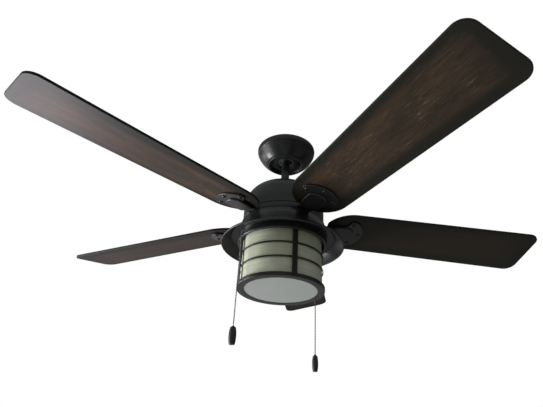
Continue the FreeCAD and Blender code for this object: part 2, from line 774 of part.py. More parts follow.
def make_blade(index, azimuth):
    name = f"blade_{index}"
    body = new_body(name, FAN_LEVEL, azimuth)
    outline = pitched_sketch(body, name + "_outline", "dims.blade_lift")
    root = BLADE_ROOT
    shoulder = f"{root} + dims.blade_shoulder"
    wide = "dims.blade_root_width / 2"
    tip = "dims.fan_radius * cos(asin(dims.blade_tip_width / 2 / dims.fan_radius))"
    far = "dims.blade_tip_width / 2"
    corner = "dims.blade_corner"
    soft = f"{corner} * (1 - sqrt(0.5))"
    draw_outline(outline, [
        (root, "-dims.blade_end_width / 2"),
        (f"{root} + dims.blade_shoulder * 0.39", f"-({wide}) * 0.8", "via"),
        (shoulder, f"-({wide})"),
        (f"dims.fan_radius - {corner}", f"-({far})"),
        (f"dims.fan_radius - {soft}", f"-({far} - {soft})", "via"),
        ("dims.fan_radius", f"-({far} - {corner})"),
        ("dims.fan_radius", f"{far} - {corner}"),
        (f"dims.fan_radius - {soft}", f"{far} - {soft}", "via"),
        (f"dims.fan_radius - {corner}", far),
        (shoulder, wide),
        (f"{root} + dims.blade_shoulder * 0.39", f"({wide}) * 0.8", "via"),
        (root, "dims.blade_end_width / 2"),
    ])
    pad(body, name + "_board", outline, "dims.blade_thickness")
    doc.recompute()
    before = body.Shape.Volume
    holes = pitched_sketch(body, name + "_holes", "dims.blade_lift")
    for x, y in blade_screw_places():
        draw_circle(holes, x, y, "dims.screw_hole")
    drilled = body.newObject("PartDesign::Pocket", name + "_screw_holes")
    drilled.Profile = holes
    drilled.Type = "ThroughAll"
    drilled.Midplane = True
    cut_check(body, before, name + " screw holes")
    return body


def arm_section(body, name, radius, low, high, twist):
    sketch = body.newObject("Sketcher::SketchObject", name)
    attach(sketch, body, "YZ_Plane")
    sketch.AttachmentOffset = Placement(Vector(), Rotation(Vector(0, 0, 1), -1))
    sketch.setExpression("AttachmentOffset.Base.z", radius)
    sketch.setExpression("AttachmentOffset.Rotation.Axis.z", "-1")
    sketch.setExpression("AttachmentOffset.Rotation.Angle", twist)
    half = "dims.iron_width / 2"
    draw_outline(sketch, [(f"-{half}", low), (half, low), (half, high), (f"-{half}", high)])
    return sketch


def make_iron(index, azimuth):
    name = f"blade_iron_{index}"
    body = new_body(name, FAN_LEVEL, azimuth)
    half = "dims.iron_width / 2"
    bend = IRON_BEND
    foot = flat_sketch(body, name + "_foot", "0")
    draw_outline(foot, [(IRON_FOOT, f"-{half}"), (bend, f"-{half}"),
                        (bend, half), (IRON_FOOT, half)])
    pad(body, name + "_foot_pad", foot, "dims.iron_foot_thickness")
    deep = "dims.blade_lift - dims.iron_arm_thickness"
    sections = [
        arm_section(body, name + "_arm_a", bend, "0", "dims.iron_foot_thickness", "0"),
        arm_section(body, name + "_arm_b", BLADE_ROOT, deep, "dims.blade_lift",
                    "dims.blade_pitch"),
        arm_section(body, name + "_arm_c", f"{BLADE_ROOT} + 26", deep,
                    "dims.blade_lift", "dims.blade_pitch"),
    ]
    arm = body.newObject("PartDesign::AdditiveLoft", name + "_arm")
    arm.Profile = sections[0]
    arm.Sections = sections[1:]
    arm.Ruled = True
    plate = pitched_sketch(body, name + "_plate", "dims.blade_lift")
    inner = f"{BLADE_ROOT} + 17"
    wide = "dims.iron_plate_width / 2"
    near = SCREWS_NEAR
    end = PLATE_END
    draw_outline(plate, [
        (inner, f"-{half}"), (f"{near} - 22", f"-{half} - 7", "via"), (f"{near} - 8", f"-({wide})"),
        (f"{near} + 6", f"-({wide}) - 1", "via"), (f"{near} + 15", f"-({wide}) + 5.5"),
        (end, "0", "via"),
        (f"{near} + 15", f"{wide} - 5.5"), (f"{near} + 6", f"{wide} + 1", "via"),
        (f"{near} - 8", wide), (f"{near} - 22", f"{half} + 7", "via"), (inner, half),
    ])
    pad(body, name + "_plate_pad", plate, "dims.iron_plate_thickness", True)
    ridge = pitched_sketch(body, name + "_ridge", "dims.blade_lift")
    side = "dims.iron_ridge_width / 2"
    draw_outline(ridge, [
        (f"{inner} - 8", f"-{half}"), (f"{near} - 22", f"-({side})"), (f"{near} - 9", f"-({side})"),
        (f"{near} + 6", "0", "via"),
        (f"{near} - 9", side), (f"{near} - 22", side), (f"{inner} - 8", half),
    ])
    pad(body, name + "_ridge_pad", ridge,
        "dims.iron_plate_thickness + dims.iron_ridge_height", True)
    doc.recompute()
    before = body.Shape.Volume
    holes = pitched_sketch(body, name + "_plate_holes", "dims.blade_lift")
    for x, y in blade_screw_places():
        draw_circle(holes, x, y, "dims.screw_hole")
    drilled = body.newObject("PartDesign::Pocket", name + "_blade_holes")
    drilled.Profile = holes
    drilled.Type = "ThroughAll"
    drilled.Midplane = True
    cut_check(body, before, name + " plate holes")
    drill(body, name + "_foot_holes", [(radius, "0") for radius in iron_screw_radii()],
          "dims.screw_hole")
    return body


def blade_frame(azimuth):
    pitch = Rotation(Vector(1, 0, 0), -size("blade_pitch"))
    turn = Rotation(Vector(0, 0, 1), azimuth)
    return Placement(Vector(0, 0, -size("blade_plane_drop")), turn.multiply(pitch))


def make_blade_fasteners():
    under_plate = size("blade_lift") - size("iron_plate_thickness")
    through = size("iron_plate_thickness") + size("blade_thickness") - 0.5
    plate_screws = []
    foot_screws = []
    for _, azimuth_text in blade_azimuths():
        azimuth = number(azimuth_text)
        frame = blade_frame(azimuth)
        for x, y in blade_screw_places():
            screw = screw_shape(Vector(number(x), number(y), under_plate), Vector(0, 0, 1),
                                5, 2.2, 2.5, through)
            plate_screws.append(screw.transformGeometry(frame.toMatrix()))
        for radius in iron_screw_radii():
            place = fan_point(number(radius), azimuth, 0)
            foot_screws.append(screw_shape(place, Vector(0, 0, 1), 4.5, 2.3, 2.4, 11))
    group_node("blade_screws", plate_screws)
    group_node("iron_screws", foot_screws)


# ---------------------------------------------------------------- hood, fitter and switches

def hood_inner_wall():
    """The hood's flare seen from inside, from the pan down to the rim."""
    wall = "dims.sheet_wall"
    rim = HOOD_RIM
    return [
        (f"{rim} - {wall} - 1.7", "dims.hood_rim"),
        (f"{rim} - {wall} - 1.7", f"dims.hood_rim + {wall}"),
        (f"{rim} - {wall} - 0.2", "dims.hood_rim + 2.4"),
        (f"{rim} - 18.7 - {wall} * 0.7", f"dims.hood_rim + 18.7 - {wall} * 0.75", "via"),
        (f"{HOOD_NECK} + 3 - {wall} * 0.9", f"dims.hood_rim + 46.5 - {wall} * 0.4"),
    ]


def make_hood():
    wall = "dims.sheet_wall"
    rim = HOOD_RIM
    neck = HOOD_NECK
    hood = turned_body("hood", [
        ("36", f"dims.hood_floor - {wall}"),
        ("36", "dims.hood_floor"),
        (f"{neck} - {wall}", "dims.hood_floor"),
        (f"{neck} - {wall}", "dims.hood_top"),
        (neck, "dims.hood_top"),
        (f"{neck} + 0.4", "dims.hood_rim + 53.2"),
        (f"{neck} + 3", "dims.hood_rim + 46.5"),
        (f"{rim} - 18.7", "dims.hood_rim + 18.7", "via"),
        (f"{rim} - 1.2", "dims.hood_rim + 4.6"),
        (rim, "dims.hood_rim + 3.2"),
        (rim, "dims.hood_rim + 1"),
        (f"{rim} - 1", "dims.hood_rim"),
    ] + hood_inner_wall() + [
        (f"{neck} - {wall}", f"dims.hood_floor - {wall}"),
    ])
    drill(hood, "hood_screw_holes", circle_places("50", 3, 90), "2.2", "dims.hood_floor")
    return hood


def make_fitter():
    wall = "dims.sheet_wall"
    plate_low = "dims.hood_floor"
    plate = turned_ring("mounting_plate", "dims.shaft_radius + dims.fit_gap",
                        MOUNTING_PLATE, plate_low, "dims.hood_floor + dims.plate_thickness")
    drill(plate, "plate_screw_holes", circle_places("50", 3, 90), "1.95", plate_low)
    nut_low = "dims.hood_floor - 5"
    turned_ring("shaft_nut", "dims.shaft_radius + dims.fit_gap", "12", nut_low, plate_low)
    can = "dims.housing_radius"
    roof = f"dims.hood_floor - {wall}"
    floor = "dims.pan_top"
    housing = turned_body("switch_housing", [
        ("36", f"{roof} - 1.2"),
        ("36", roof),
        (can, roof),
        (can, floor),
        (f"{can} - 12", floor),
        (f"{can} - 12", f"{floor} + 1.2"),
        (f"{can} - 1.2", f"{floor} + 1.2"),
        (f"{can} - 1.2", f"{roof} - 1.2"),
    ])
    drill(housing, "housing_screw_holes", circle_places("50", 3, 90), "2.2", roof)
    drill(housing, "housing_pan_holes", circle_places(f"{can} - 6", 3, 60), "1.9", floor)
    cut_nozzle_holes(housing)
    pan = turned_ring("fitter_pan", "9", PAN, f"dims.pan_top - {wall}",
                      "dims.pan_top")
    drill(pan, "pan_screw_holes", circle_places(f"{can} - 6", 3, 60), "2.2", "dims.pan_top")
    drill(pan, "chain_holes", [on_circle(CHAIN_CIRCLE, f"dims.{chain}_chain_azimuth")
                               for chain in ("fan", "light")],
          "dims.chain_radius + 1.4", "dims.pan_top")
    cut_reverse_slot(pan)
    screws = []
    for azimuth in (90, 210, 330):
        under = size("hood_floor") - size("sheet_wall") - 1.2
        screws.append(screw_shape(fan_point(50, azimuth, under), Vector(0, 0, 1),
                                  4, 2, 1.9, size("sheet_wall") + 1.2 + size("plate_thickness")))
    group_node("hood_screws", screws)
    pan_screws = []
    for azimuth in (60, 180, 300):
        under = size("pan_top") - 2 * size("sheet_wall")
        pan_screws.append(screw_shape(fan_point(size("housing_radius") - 6, azimuth, under),
                                      Vector(0, 0, 1), 4, 2, 1.85, 2 * size("sheet_wall") + 4))
    group_node("pan_screws", pan_screws)
    capacitor = box_part("capacitor",
                         ("-25", "18", f"{FAN_LEVEL} + {roof} - 1.2 - 24"), ("50", "20", "24"))
    capacitor.Label = "capacitor"


def cut_nozzle_holes(housing):
    doc.recompute()
    before = housing.Shape.Volume
    for chain in ("fan", "light"):
        sketch = housing.newObject("Sketcher::SketchObject", chain + "_nozzle_place")
        attach(sketch, housing, "YZ_Plane")
        sketch.AttachmentOffset = Placement(Vector(), Rotation(Vector(0, 1, 0), 10))
        sketch.setExpression("AttachmentOffset.Rotation.Angle", f"dims.{chain}_chain_azimuth")
        draw_circle(sketch, "0", "dims.nozzle_height", "4.2")
        hole = housing.newObject("PartDesign::Pocket", chain + "_nozzle_hole")
        hole.Profile = sketch
        hole.setExpression("Length", "dims.housing_radius + 5")
        hole.Reversed = True
        cut_check(housing, before, chain + " nozzle hole")
        before = housing.Shape.Volume


def cut_reverse_slot(pan):
    doc.recompute()
    before = pan.Shape.Volume
    sketch = flat_sketch(pan, "reverse_slot_outline", "dims.pan_top")
    sketch.setExpression("AttachmentOffset.Rotation.Angle", "dims.reverse_azimuth")
    near = f"{REVERSE_CIRCLE} - 2.4"
    far = f"{REVERSE_CIRCLE} + 2.4"
    reach = "dims.reverse_travel / 2 + 3.4"
    draw_outline(sketch, [(near, f"-({reach})"), (far, f"-({reach})"), (far, reach),
                          (near, reach)])
    slot = pan.newObject("PartDesign::Pocket", "reverse_slot")
    slot.Profile = sketch
    slot.Type = "ThroughAll"
    slot.Midplane = True
    cut_check(pan, before, "reversing slot")


def turned_about_fan(name, shape, azimuth):
    node = doc.addObject("Part::Feature", name)
    node.Label = name
    node.Shape = shape
    node.Placement = Placement(Vector(0, 0, -size("blade_plane_drop")),
                               Rotation(Vector(0, 0, 1), azimuth))
    return node


def make_pull_switch(name, azimuth):
    """A pull switch: its body inside the housing, its nozzle out through the wall."""
    half = 14
    inside = size("housing_radius") - 1.2 - size("run_gap")
    face = math.sqrt(inside ** 2 - half ** 2)
    circle = number(CHAIN_CIRCLE)
    axis_height = size("nozzle_height")
    block = Part.makeBox(22, 2 * half, 11.5, Vector(face - 22, -half, axis_height - 4.3))
    block = block.makeFillet(2, block.Edges)
    nozzle = Part.makeCylinder(4, circle - face + 1, Vector(face - 1, 0, axis_height),
                               Vector(1, 0, 0))
    elbow = Part.makeCylinder(4.2, 7.8, Vector(circle, 0, size("pan_top") + 1.9))
    bore = Part.makeCylinder(size("chain_radius") + size("run_gap"), 8.1,
                             Vector(circle, 0, size("pan_top") + 1))
    return turned_about_fan(name, block.fuse([nozzle, elbow]).cut(bore).removeSplitter(), azimuth)


def make_switches():
    azimuths = [size("fan_chain_azimuth"), size("light_chain_azimuth")]
    make_pull_switch("fan_switch", azimuths[0])
    make_pull_switch("light_switch", azimuths[1])
    nuts = []
    eyelets = []
    for azimuth in azimuths:
        nut = Part.makeCylinder(7, 3, Vector(size("housing_radius"), 0, size("nozzle_height")),
                                Vector(1, 0, 0))
        nut = nut.cut(Part.makeCylinder(4 + size("fit_gap"), 6,
                                        Vector(size("housing_radius") - 1, 0,
                                               size("nozzle_height")), Vector(1, 0, 0)))
        nut = nut.cut(Part.makeBox(8, 16, 4, Vector(size("housing_radius") - 2, -8,
                                                    size("pan_top") - 4)))
        nut.rotate(Vector(0, 0, 0), Vector(0, 0, 1), azimuth)
        nut.translate(Vector(0, 0, -size("blade_plane_drop")))
        nuts.append(nut)
        under = size("pan_top") - size("sheet_wall")
        flange = Part.makeCylinder(size("eyelet_radius"), 1,
                                   fan_point(number(CHAIN_CIRCLE), azimuth, under - 1))
        barrel = Part.makeCylinder(size("chain_radius") + 1.35, 2.3,
                                   fan_point(number(CHAIN_CIRCLE), azimuth, under))
        hole = Part.makeCylinder(size("chain_radius") + size("run_gap"), 6,
                                 fan_point(number(CHAIN_CIRCLE), azimuth, under - 2))
        eyelets.append(flange.fuse(barrel).cut(hole).removeSplitter())
    group_node("switch_nuts", nuts)
    group_node("chain_eyelets", eyelets)
    make_reversing_switch()


def make_reversing_switch():
    circle = number(REVERSE_CIRCLE)
    top = size("pan_top")
    case = Part.makeBox(8.4, 22, 5, Vector(circle - 4.2, -11, top))
    window = Part.makeBox(4.8, size("reverse_travel") + 6.8, 4,
                          Vector(circle - 2.4, -size("reverse_travel") / 2 - 3.4, top))
    turned_about_fan("reversing_switch", case.cut(window), size("reverse_azimuth"))
    knob = Part.makeBox(4, 6, 7.5, Vector(circle - 2, size("reverse_travel") / 2 - 3, top - 4))
    knob = knob.makeFillet(0.6, [edge for edge in knob.Edges
                                 if edge.CenterOfMass.z < top - 3.9])
    turned_about_fan("reversing_knob", knob, size("reverse_azimuth"))


def make_pull(name, azimuth, low):
    x, y = on_circle(CHAIN_CIRCLE, azimuth)
    height = f"dims.chain_top - {low}"
    chain = cylinder_part(f"{name}_pull_chain", "dims.chain_radius", height, x, y,
                          f"{FAN_LEVEL} + {low}")
    chain.Label = f"{name}_pull_chain"
    pendant = turned_body(f"{name}_pull_pendant", [
        ("0", "0"), ("2.2", "0"), ("3.2", "-1.2"), ("3.2", "-3.6"), ("4.2", "-4.6"),
        ("dims.pendant_radius", "-dims.pendant_height * 0.5", "via"),
        ("4.2", "-dims.pendant_height + 3.4"), ("3", "-dims.pendant_height + 2.4"),
        ("2.4", "-dims.pendant_height + 0.6"), ("0", "-dims.pendant_height"),
    ], f"{FAN_LEVEL} + {low}")
    pendant.setExpression("Placement.Base.x", x)
    pendant.setExpression("Placement.Base.y", y)


# ---------------------------------------------------------------- caged light

def make_light():
    wall = "dims.sheet_wall"
    under_pan = f"dims.pan_top - {wall}"
    collar = COLLAR
    bar_seat = BAR_SEAT
    low = "dims.collar_low"
    holder = turned_body("cage_collar", [
        ("dims.housing_radius - 14", under_pan),
        ("dims.housing_radius - 14", f"{under_pan} - {wall}"),
        (f"{collar} - 3.5", f"{under_pan} - {wall}"),
        (f"{collar} - 3.5", "dims.collar_low + 12.2"),
        (f"{collar} - {wall}", "dims.collar_low + 10.2"),
        (f"{collar} - {wall}", f"{low} + {wall}"),
        (bar_seat, f"{low} + {wall}"),
        (bar_seat, low),
        (f"{collar} - 1.2", low),
        (collar, f"{low} + 3"),
        (collar, "dims.collar_low + 9.8"),
        (f"{collar} - 0.6", "dims.collar_low + 11.4", "via"),
        (f"{collar} - 2", "dims.collar_low + 12.8"),
        (f"{collar} - 2", under_pan),
    ])
    drill(holder, "collar_screw_holes", circle_places("dims.housing_radius - 6", 3, 60), "2.2",
          under_pan)
    ledge = "dims.shade_bottom + 1.5"
    turned_ring("glass_shade", "dims.glass_radius - dims.glass_wall", "dims.glass_radius",
                ledge, "dims.glass_top")
    turned_body("bottom_diffuser", [
        ("0", ledge), ("dims.glass_radius - dims.glass_wall - 0.3", ledge),
        ("dims.glass_radius - dims.glass_wall - 0.3", f"{ledge} + 3"), ("0", f"{ledge} + 3"),
    ])
    ring_top = "dims.shade_bottom + dims.ring_height"
    turned_body("cage_bottom_ring", [
        (bar_seat, ring_top),
        (f"{bar_seat} + 1.2", ring_top),
        (f"{bar_seat} + 1.2", "dims.shade_bottom + 1.5"),
        (f"{bar_seat} - 0.3", "dims.shade_bottom"),
        (RING_OPENING, "dims.shade_bottom"),
        (RING_OPENING, ledge),
        (bar_seat, ledge),
    ])
    make_hoops()
    make_bars(low)
    make_lamps(under_pan)


def make_hoops():
    hoops = []
    for level in ("hoop_upper", "hoop_lower"):
        base = fan_point(0, 0, size(level) - size("hoop_height") / 2)
        outer = Part.makeCylinder(number(HOOP_OUTSIDE), size("hoop_height"), base)
        inner = Part.makeCylinder(number(HOOP_INSIDE), size("hoop_height"), base)
        hoops.append(outer.cut(inner))
    group_node("cage_hoops", hoops)


def make_bars(low):
    """Flat bars bent to the hoops' curve, from inside the collar to the bottom ring."""
    inner = number(HOOP_OUTSIDE)
    outer = inner + size("bar_wall")
    bottom = size("shade_bottom") + 1.5
    height = number(low) + 8 - bottom
    count = int(size("bar_count"))
    bars = []
    for turn in range(count):
        azimuth = size("bar_azimuth") + 360 * turn / count
        tube = Part.makeCylinder(outer, height, Vector(0, 0, bottom))
        tube = tube.cut(Part.makeCylinder(inner, height, Vector(0, 0, bottom)))
        slab = Part.makeBox(outer + 5, size("bar_width"), height,
                            Vector(0, -size("bar_width") / 2, bottom))
        bar = tube.common(slab)
        bar.rotate(Vector(0, 0, 0), Vector(0, 0, 1), azimuth)
        bar.translate(Vector(0, 0, -size("blade_plane_drop")))
        bars.append(bar)
    group_node("cage_bars", bars)


def make_lamps(under_pan):
    bracket_low = f"{under_pan} - 1.5"
    plate = doc.addObject("Part::Box", "lamp_plate")
    for prop, expression in zip(("Length", "Width", "Height"),
                                ("dims.lamp_spacing + 34", "30", "1.5")):
        plate.setExpression(prop, expression)
    for axis, expression in zip("xyz", ("-(dims.lamp_spacing + 34) / 2", "-15",
                                        f"{FAN_LEVEL} + {bracket_low}")):
        plate.setExpression(f"Placement.Base.{axis}", expression)
    hole = cylinder_part("lamp_wire_hole", "9", "4", "0", "0", f"{FAN_LEVEL} + {bracket_low} - 1")
    bracket = cut_part("lamp_bracket", plate, hole)
    bracket.Label = "lamp_bracket"
    top = number(bracket_low)
    socket_low = top - size("socket_height")
    sockets = []
    lamps = []
    for x in (-size("lamp_spacing") / 2, size("lamp_spacing") / 2):
        shell = Part.makeCylinder(16, size("socket_height"), Vector(x, 0, socket_low))
        cavity = Part.makeCylinder(13.3, size("socket_height") - 4, Vector(x, 0, socket_low))
        sockets.append(shell.cut(cavity))
        lamps.append(lamp_shape(x, socket_low + size("socket_height") - 4))
    for name, shapes in (("lamp_sockets", sockets), ("lamps", lamps)):
        for shape in shapes:
            shape.translate(Vector(0, 0, -size("blade_plane_drop")))
        group_node(name, shapes)


def lamp_shape(x, top):
    """A screw-base lamp hanging down: cap, neck and round bulb, turned about its own axis."""
    radius = size("lamp_radius")
    low = size("lamp_low")
    middle = low + radius
    neck = Vector(x + 13, 0, top - 28)
    side = Vector(x + radius, 0, middle)
    points = [Vector(x, 0, low), side, neck, Vector(x + 13, 0, top), Vector(x, 0, top)]
    bulb = Part.Arc(points[0], Vector(x + radius * math.sqrt(0.5), 0,
                                      middle - radius * math.sqrt(0.5)), side).toShape()
    edges = [bulb]
    for start, finish in zip(points[1:], points[2:] + points[:1]):
        edges.append(Part.LineSegment(start, finish).toShape())
    face = Part.Face(Part.Wire(edges))
    return face.revolve(Vector(x, 0, 0), Vector(0, 0, 1), 360)


# ---------------------------------------------------------------- build and write

make_hanger_bracket()
make_canopy()
make_canopy_screws()
make_hanger_ball()
cross_pin("ball_pin", "36", "-dims.ball_drop")
make_downrod()
make_motor_yoke()
cross_pin("yoke_pin", "2 * dims.yoke_radius + 4", f"{FAN_LEVEL} + dims.rod_socket + 10")
make_yoke_set_screws()
make_motor()
make_motor_cover()
make_cover_screws()
for blade_index, blade_turn in blade_azimuths():
    make_blade(blade_index, blade_turn)
    make_iron(blade_index, blade_turn)
make_blade_fasteners()
make_hood()
make_fitter()
make_switches()
make_pull("fan", "dims.fan_chain_azimuth", "dims.fan_chain_low")
make_pull("light", "dims.light_chain_azimuth", "dims.light_chain_low")
make_light()
doc.recompute()

NODES = [
    "hanger_bracket", "canopy", "canopy_screws",
    "hanger_ball", "ball_pin", "downrod", "motor_yoke", "yoke_pin", "yoke_set_screws",
    "motor_shaft", "stator_core", "stator_windings", "rotor_core", "lower_bearing",
    "upper_bearing", "rotor_upper_bell", "rotor_lower_bell", "motor_cover", "cover_screws",
    "mounting_plate", "shaft_nut", "hood", "hood_screws", "switch_housing", "capacitor",
    "fan_switch", "light_switch", "switch_nuts", "chain_eyelets", "reversing_switch",
    "reversing_knob", "fitter_pan", "pan_screws", "cage_collar", "glass_shade",
    "bottom_diffuser", "cage_bottom_ring", "cage_hoops", "cage_bars", "lamp_bracket",
    "lamp_sockets", "lamps", "blade_screws", "iron_screws",
    "fan_pull_chain", "fan_pull_pendant", "light_pull_chain", "light_pull_pendant",
]
NODES += [f"blade_{index}" for index, _ in blade_azimuths()]
NODES += [f"blade_iron_{index}" for index, _ in blade_azimuths()]

for item in doc.Objects:
    if "Invalid" in item.State or "Error" in item.State:
        raise RuntimeError(f"{item.Name} failed: {item.State}")
for name in NODES:
    node = doc.getObjectsByLabel(name)[0]
    if node.Shape.isNull() or not node.Shape.isValid() or not node.Shape.Solids:
        raise RuntimeError(name + " has no valid solid")
for name in NODES:
    node = doc.getObjectsByLabel(name)[0]
    node.Shape.exportStep(f"parts/{name}.step")
    print(name, len(node.Shape.Solids), round(node.Shape.Volume))
print(len(NODES), "nodes")
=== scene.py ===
import json
import math

import bmesh
import bpy
from mathutils import Matrix, Vector


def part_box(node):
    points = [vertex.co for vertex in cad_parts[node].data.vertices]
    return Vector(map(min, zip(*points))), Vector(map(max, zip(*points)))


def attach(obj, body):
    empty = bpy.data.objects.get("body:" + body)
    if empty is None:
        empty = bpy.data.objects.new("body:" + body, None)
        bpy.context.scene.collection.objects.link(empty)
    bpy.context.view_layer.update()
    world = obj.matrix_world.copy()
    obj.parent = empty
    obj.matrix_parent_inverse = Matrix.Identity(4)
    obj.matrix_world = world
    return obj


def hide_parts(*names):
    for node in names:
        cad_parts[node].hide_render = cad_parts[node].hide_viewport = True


# A five-blade ceiling fan with a caged drum light, seen from below.
# Outlines are in millimetres: radius and height, heights from the blade plane for the fan
# and from the ceiling for the canopy. Everything ends up in metres in the CAD frame.

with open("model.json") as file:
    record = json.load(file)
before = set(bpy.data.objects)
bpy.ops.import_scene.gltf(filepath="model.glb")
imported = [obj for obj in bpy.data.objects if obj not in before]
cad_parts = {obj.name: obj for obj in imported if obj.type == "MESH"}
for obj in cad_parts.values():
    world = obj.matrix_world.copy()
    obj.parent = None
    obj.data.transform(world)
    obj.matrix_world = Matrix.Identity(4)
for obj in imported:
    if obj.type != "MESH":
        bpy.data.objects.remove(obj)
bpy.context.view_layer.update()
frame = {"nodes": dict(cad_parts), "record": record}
mm = 0.001
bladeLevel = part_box("rotor_lower_bell")[0].z  # lower edge of the turning band
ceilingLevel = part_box("hanger_bracket")[1].z
rimAngle = 40  # edges that turn by more degrees than this are rounded
mergeDistance = 2e-6
scene = bpy.context.scene
print("frame loaded, blade plane at", round(bladeLevel, 4))


# outlines and solids

def arcPoints(start, through, end, steps):
    # corners between start and end, on the circle through all three
    (ax, ay), (bx, by), (cx, cy) = start, through, end
    turn = 2 * (ax * (by - cy) + bx * (cy - ay) + cx * (ay - by))
    a, b, c = ax * ax + ay * ay, bx * bx + by * by, cx * cx + cy * cy
    midX = (a * (by - cy) + b * (cy - ay) + c * (ay - by)) / turn
    midY = (a * (cx - bx) + b * (ax - cx) + c * (bx - ax)) / turn
    radius = math.hypot(ax - midX, ay - midY)
    first = math.atan2(ay - midY, ax - midX)
    last = math.atan2(cy - midY, cx - midX)
    sweep = (last - first) % (2 * math.pi)
    if turn < 0:
        sweep -= 2 * math.pi
    angles = [first + sweep * step / steps for step in range(1, steps)]
    return [(midX + radius * math.cos(t), midY + radius * math.sin(t)) for t in angles]


def arcTo(start, through, end, steps=14):
    return arcPoints(start, through, end, steps) + [end]


def uprightPlace(x, y):
    return (x * mm, 0, y * mm)


def flatPlace(x, y):
    return (x * mm, y * mm, 0)


def drawOutline(bm, corners, place, closed=True, softness=4):
    # a corner is (x, y) or (x, y, how far it is rounded off along each side)
    wear = bm.verts.layers.float.get("edgeWear") or bm.verts.layers.float.new("edgeWear")
    verts = [bm.verts.new(place(*corner[:2])) for corner in corners]
    followers = verts[1:] + verts[:1] if closed else verts[1:]
    for start, end in zip(verts, followers):
        bm.edges.new((start, end))
    sizes = sorted({corner[2] for corner in corners if len(corner) > 2})
    for size in sizes:
        chosen = [v for v, corner in zip(verts, corners) if corner[2:] == (size,)]
        rounded = bmesh.ops.bevel(bm, geom=chosen, offset=size * mm, offset_type="OFFSET",
                                  segments=softness, profile=0.5, affect="VERTICES",
                                  clamp_overlap=True, material=-1)
        fresh = set(rounded["edges"])
        for vert in rounded["verts"]:
            vert[wear] = 1.0 if all(edge in fresh for edge in vert.link_edges) else 0.0


def turned(corners, level, steps=144, closed=True, softness=4):
    bm = bmesh.new()
    drawOutline(bm, corners, uprightPlace, closed, softness)
    bmesh.ops.spin(bm, geom=bm.verts[:] + bm.edges[:], cent=(0, 0, 0), axis=(0, 0, 1),
                   dvec=(0, 0, 0), angle=2 * math.pi, steps=steps, use_merge=True,
                   use_duplicate=False)
    bmesh.ops.translate(bm, vec=(0, 0, level), verts=bm.verts[:])
    return bm


def startPiece():
    bm = bmesh.new()
    bm.verts.layers.float.new("edgeWear")
    return bm


def softenRims(bm, size, segments=3):
    # rounds every edge that turns sharply, and marks the new edge as worn
    wear = bm.verts.layers.float.get("edgeWear") or bm.verts.layers.float.new("edgeWear")
    bmesh.ops.recalc_face_normals(bm, faces=bm.faces[:])
    rims = [e for e in bm.edges
            if len(e.link_faces) == 2 and e.calc_face_angle(0) > math.radians(rimAngle)]
    result = bmesh.ops.bevel(bm, geom=rims, offset=size * mm, offset_type="OFFSET",
                             segments=segments, profile=0.5, affect="EDGES",
                             clamp_overlap=True, material=-1)
    fresh = set(result["faces"])
    for vert in result["verts"]:
        if vert.is_valid and all(face in fresh for face in vert.link_faces):
            vert[wear] = 1.0


def plate(corners, low, high, soften=0, softness=8, segments=3):
    # a flat outline given thickness between two heights
    bm = bmesh.new()
    drawOutline(bm, corners, flatPlace, True, softness)
    bmesh.ops.contextual_create(bm, geom=bm.edges[:])
    bmesh.ops.translate(bm, vec=(0, 0, low * mm), verts=bm.verts[:])
    raised = bmesh.ops.extrude_face_region(bm, geom=bm.faces[:])
    lifted = [item for item in raised["geom"] if isinstance(item, bmesh.types.BMVert)]
    bmesh.ops.translate(bm, vec=(0, 0, (high - low) * mm), verts=lifted)
    bmesh.ops.recalc_face_normals(bm, faces=bm.faces[:])
    if soften:
        softenRims(bm, soften, segments)
    return bm


def addTo(target, source, matrix=None):
    # joins one bmesh into another, moved by a matrix
    mesh = bpy.data.meshes.new("joining")
    if matrix is not None:
        source.transform(matrix)
    source.to_mesh(mesh)
    target.from_mesh(mesh)
    bpy.data.meshes.remove(mesh)
    source.free()
    return target


def makeObject(name, bm):
    mesh = bpy.data.meshes.new(name)
    bm.to_mesh(mesh)
    bm.free()
    made = bpy.data.objects.new(name, mesh)
    scene.collection.objects.link(made)
    return made


def finishPiece(name, bm, body, node, finish=None, sharper=50, even=True):
    # the piece stands for one CAD node and wears its slot's finish unless another is named
    bmesh.ops.remove_doubles(bm, verts=bm.verts[:], dist=mergeDistance)
    bmesh.ops.recalc_face_normals(bm, faces=bm.faces[:])
    for face in bm.faces:
        face.smooth = True
    for edge in bm.edges:
        edge.smooth = edge.calc_face_angle(0) < math.radians(sharper)
    piece = makeObject(name, bm)
    piece.data.materials.append(finishes[finish or slotOf[node]])
    if even:
        weighted = piece.modifiers.new("weighted", "WEIGHTED_NORMAL")
        weighted.keep_sharp = True
    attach(piece, body)
    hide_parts(node)
    return piece


# node helpers

def addNode(tree, kind, inputs=(), **settings):
    # inputs are (socket, value or another node's socket)
    node = tree.nodes.new(kind)
    for setting, value in settings.items():
        setattr(node, setting, value)
    for socket, value in inputs:
        if isinstance(value, bpy.types.NodeSocket):
            tree.links.new(value, node.inputs[socket])
        else:
            node.inputs[socket].default_value = value
    return node


def mathOf(tree, operation, first, second=0.0):
    node = addNode(tree, "ShaderNodeMath", [(0, first), (1, second)], operation=operation)
    return node.outputs[0]


def swingOf(tree, value, amount):
    # how far a noise is above or below its middle, times an amount
    return mathOf(tree, "MULTIPLY", mathOf(tree, "SUBTRACT", value, 0.5), amount)


def spanOf(tree, value, fromLow, fromHigh, toLow=0.0, toHigh=1.0):
    node = addNode(tree, "ShaderNodeMapRange",
                   [("Value", value), ("From Min", fromLow), ("From Max", fromHigh),
                    ("To Min", toLow), ("To Max", toHigh)], interpolation_type="SMOOTHSTEP")
    return node.outputs["Result"]


def blendOf(tree, factor, first, second, mode="MIX"):
    node = addNode(tree, "ShaderNodeMix", [(0, factor), (6, first), (7, second)],
                   data_type="RGBA", blend_type=mode)
    return node.outputs[2]


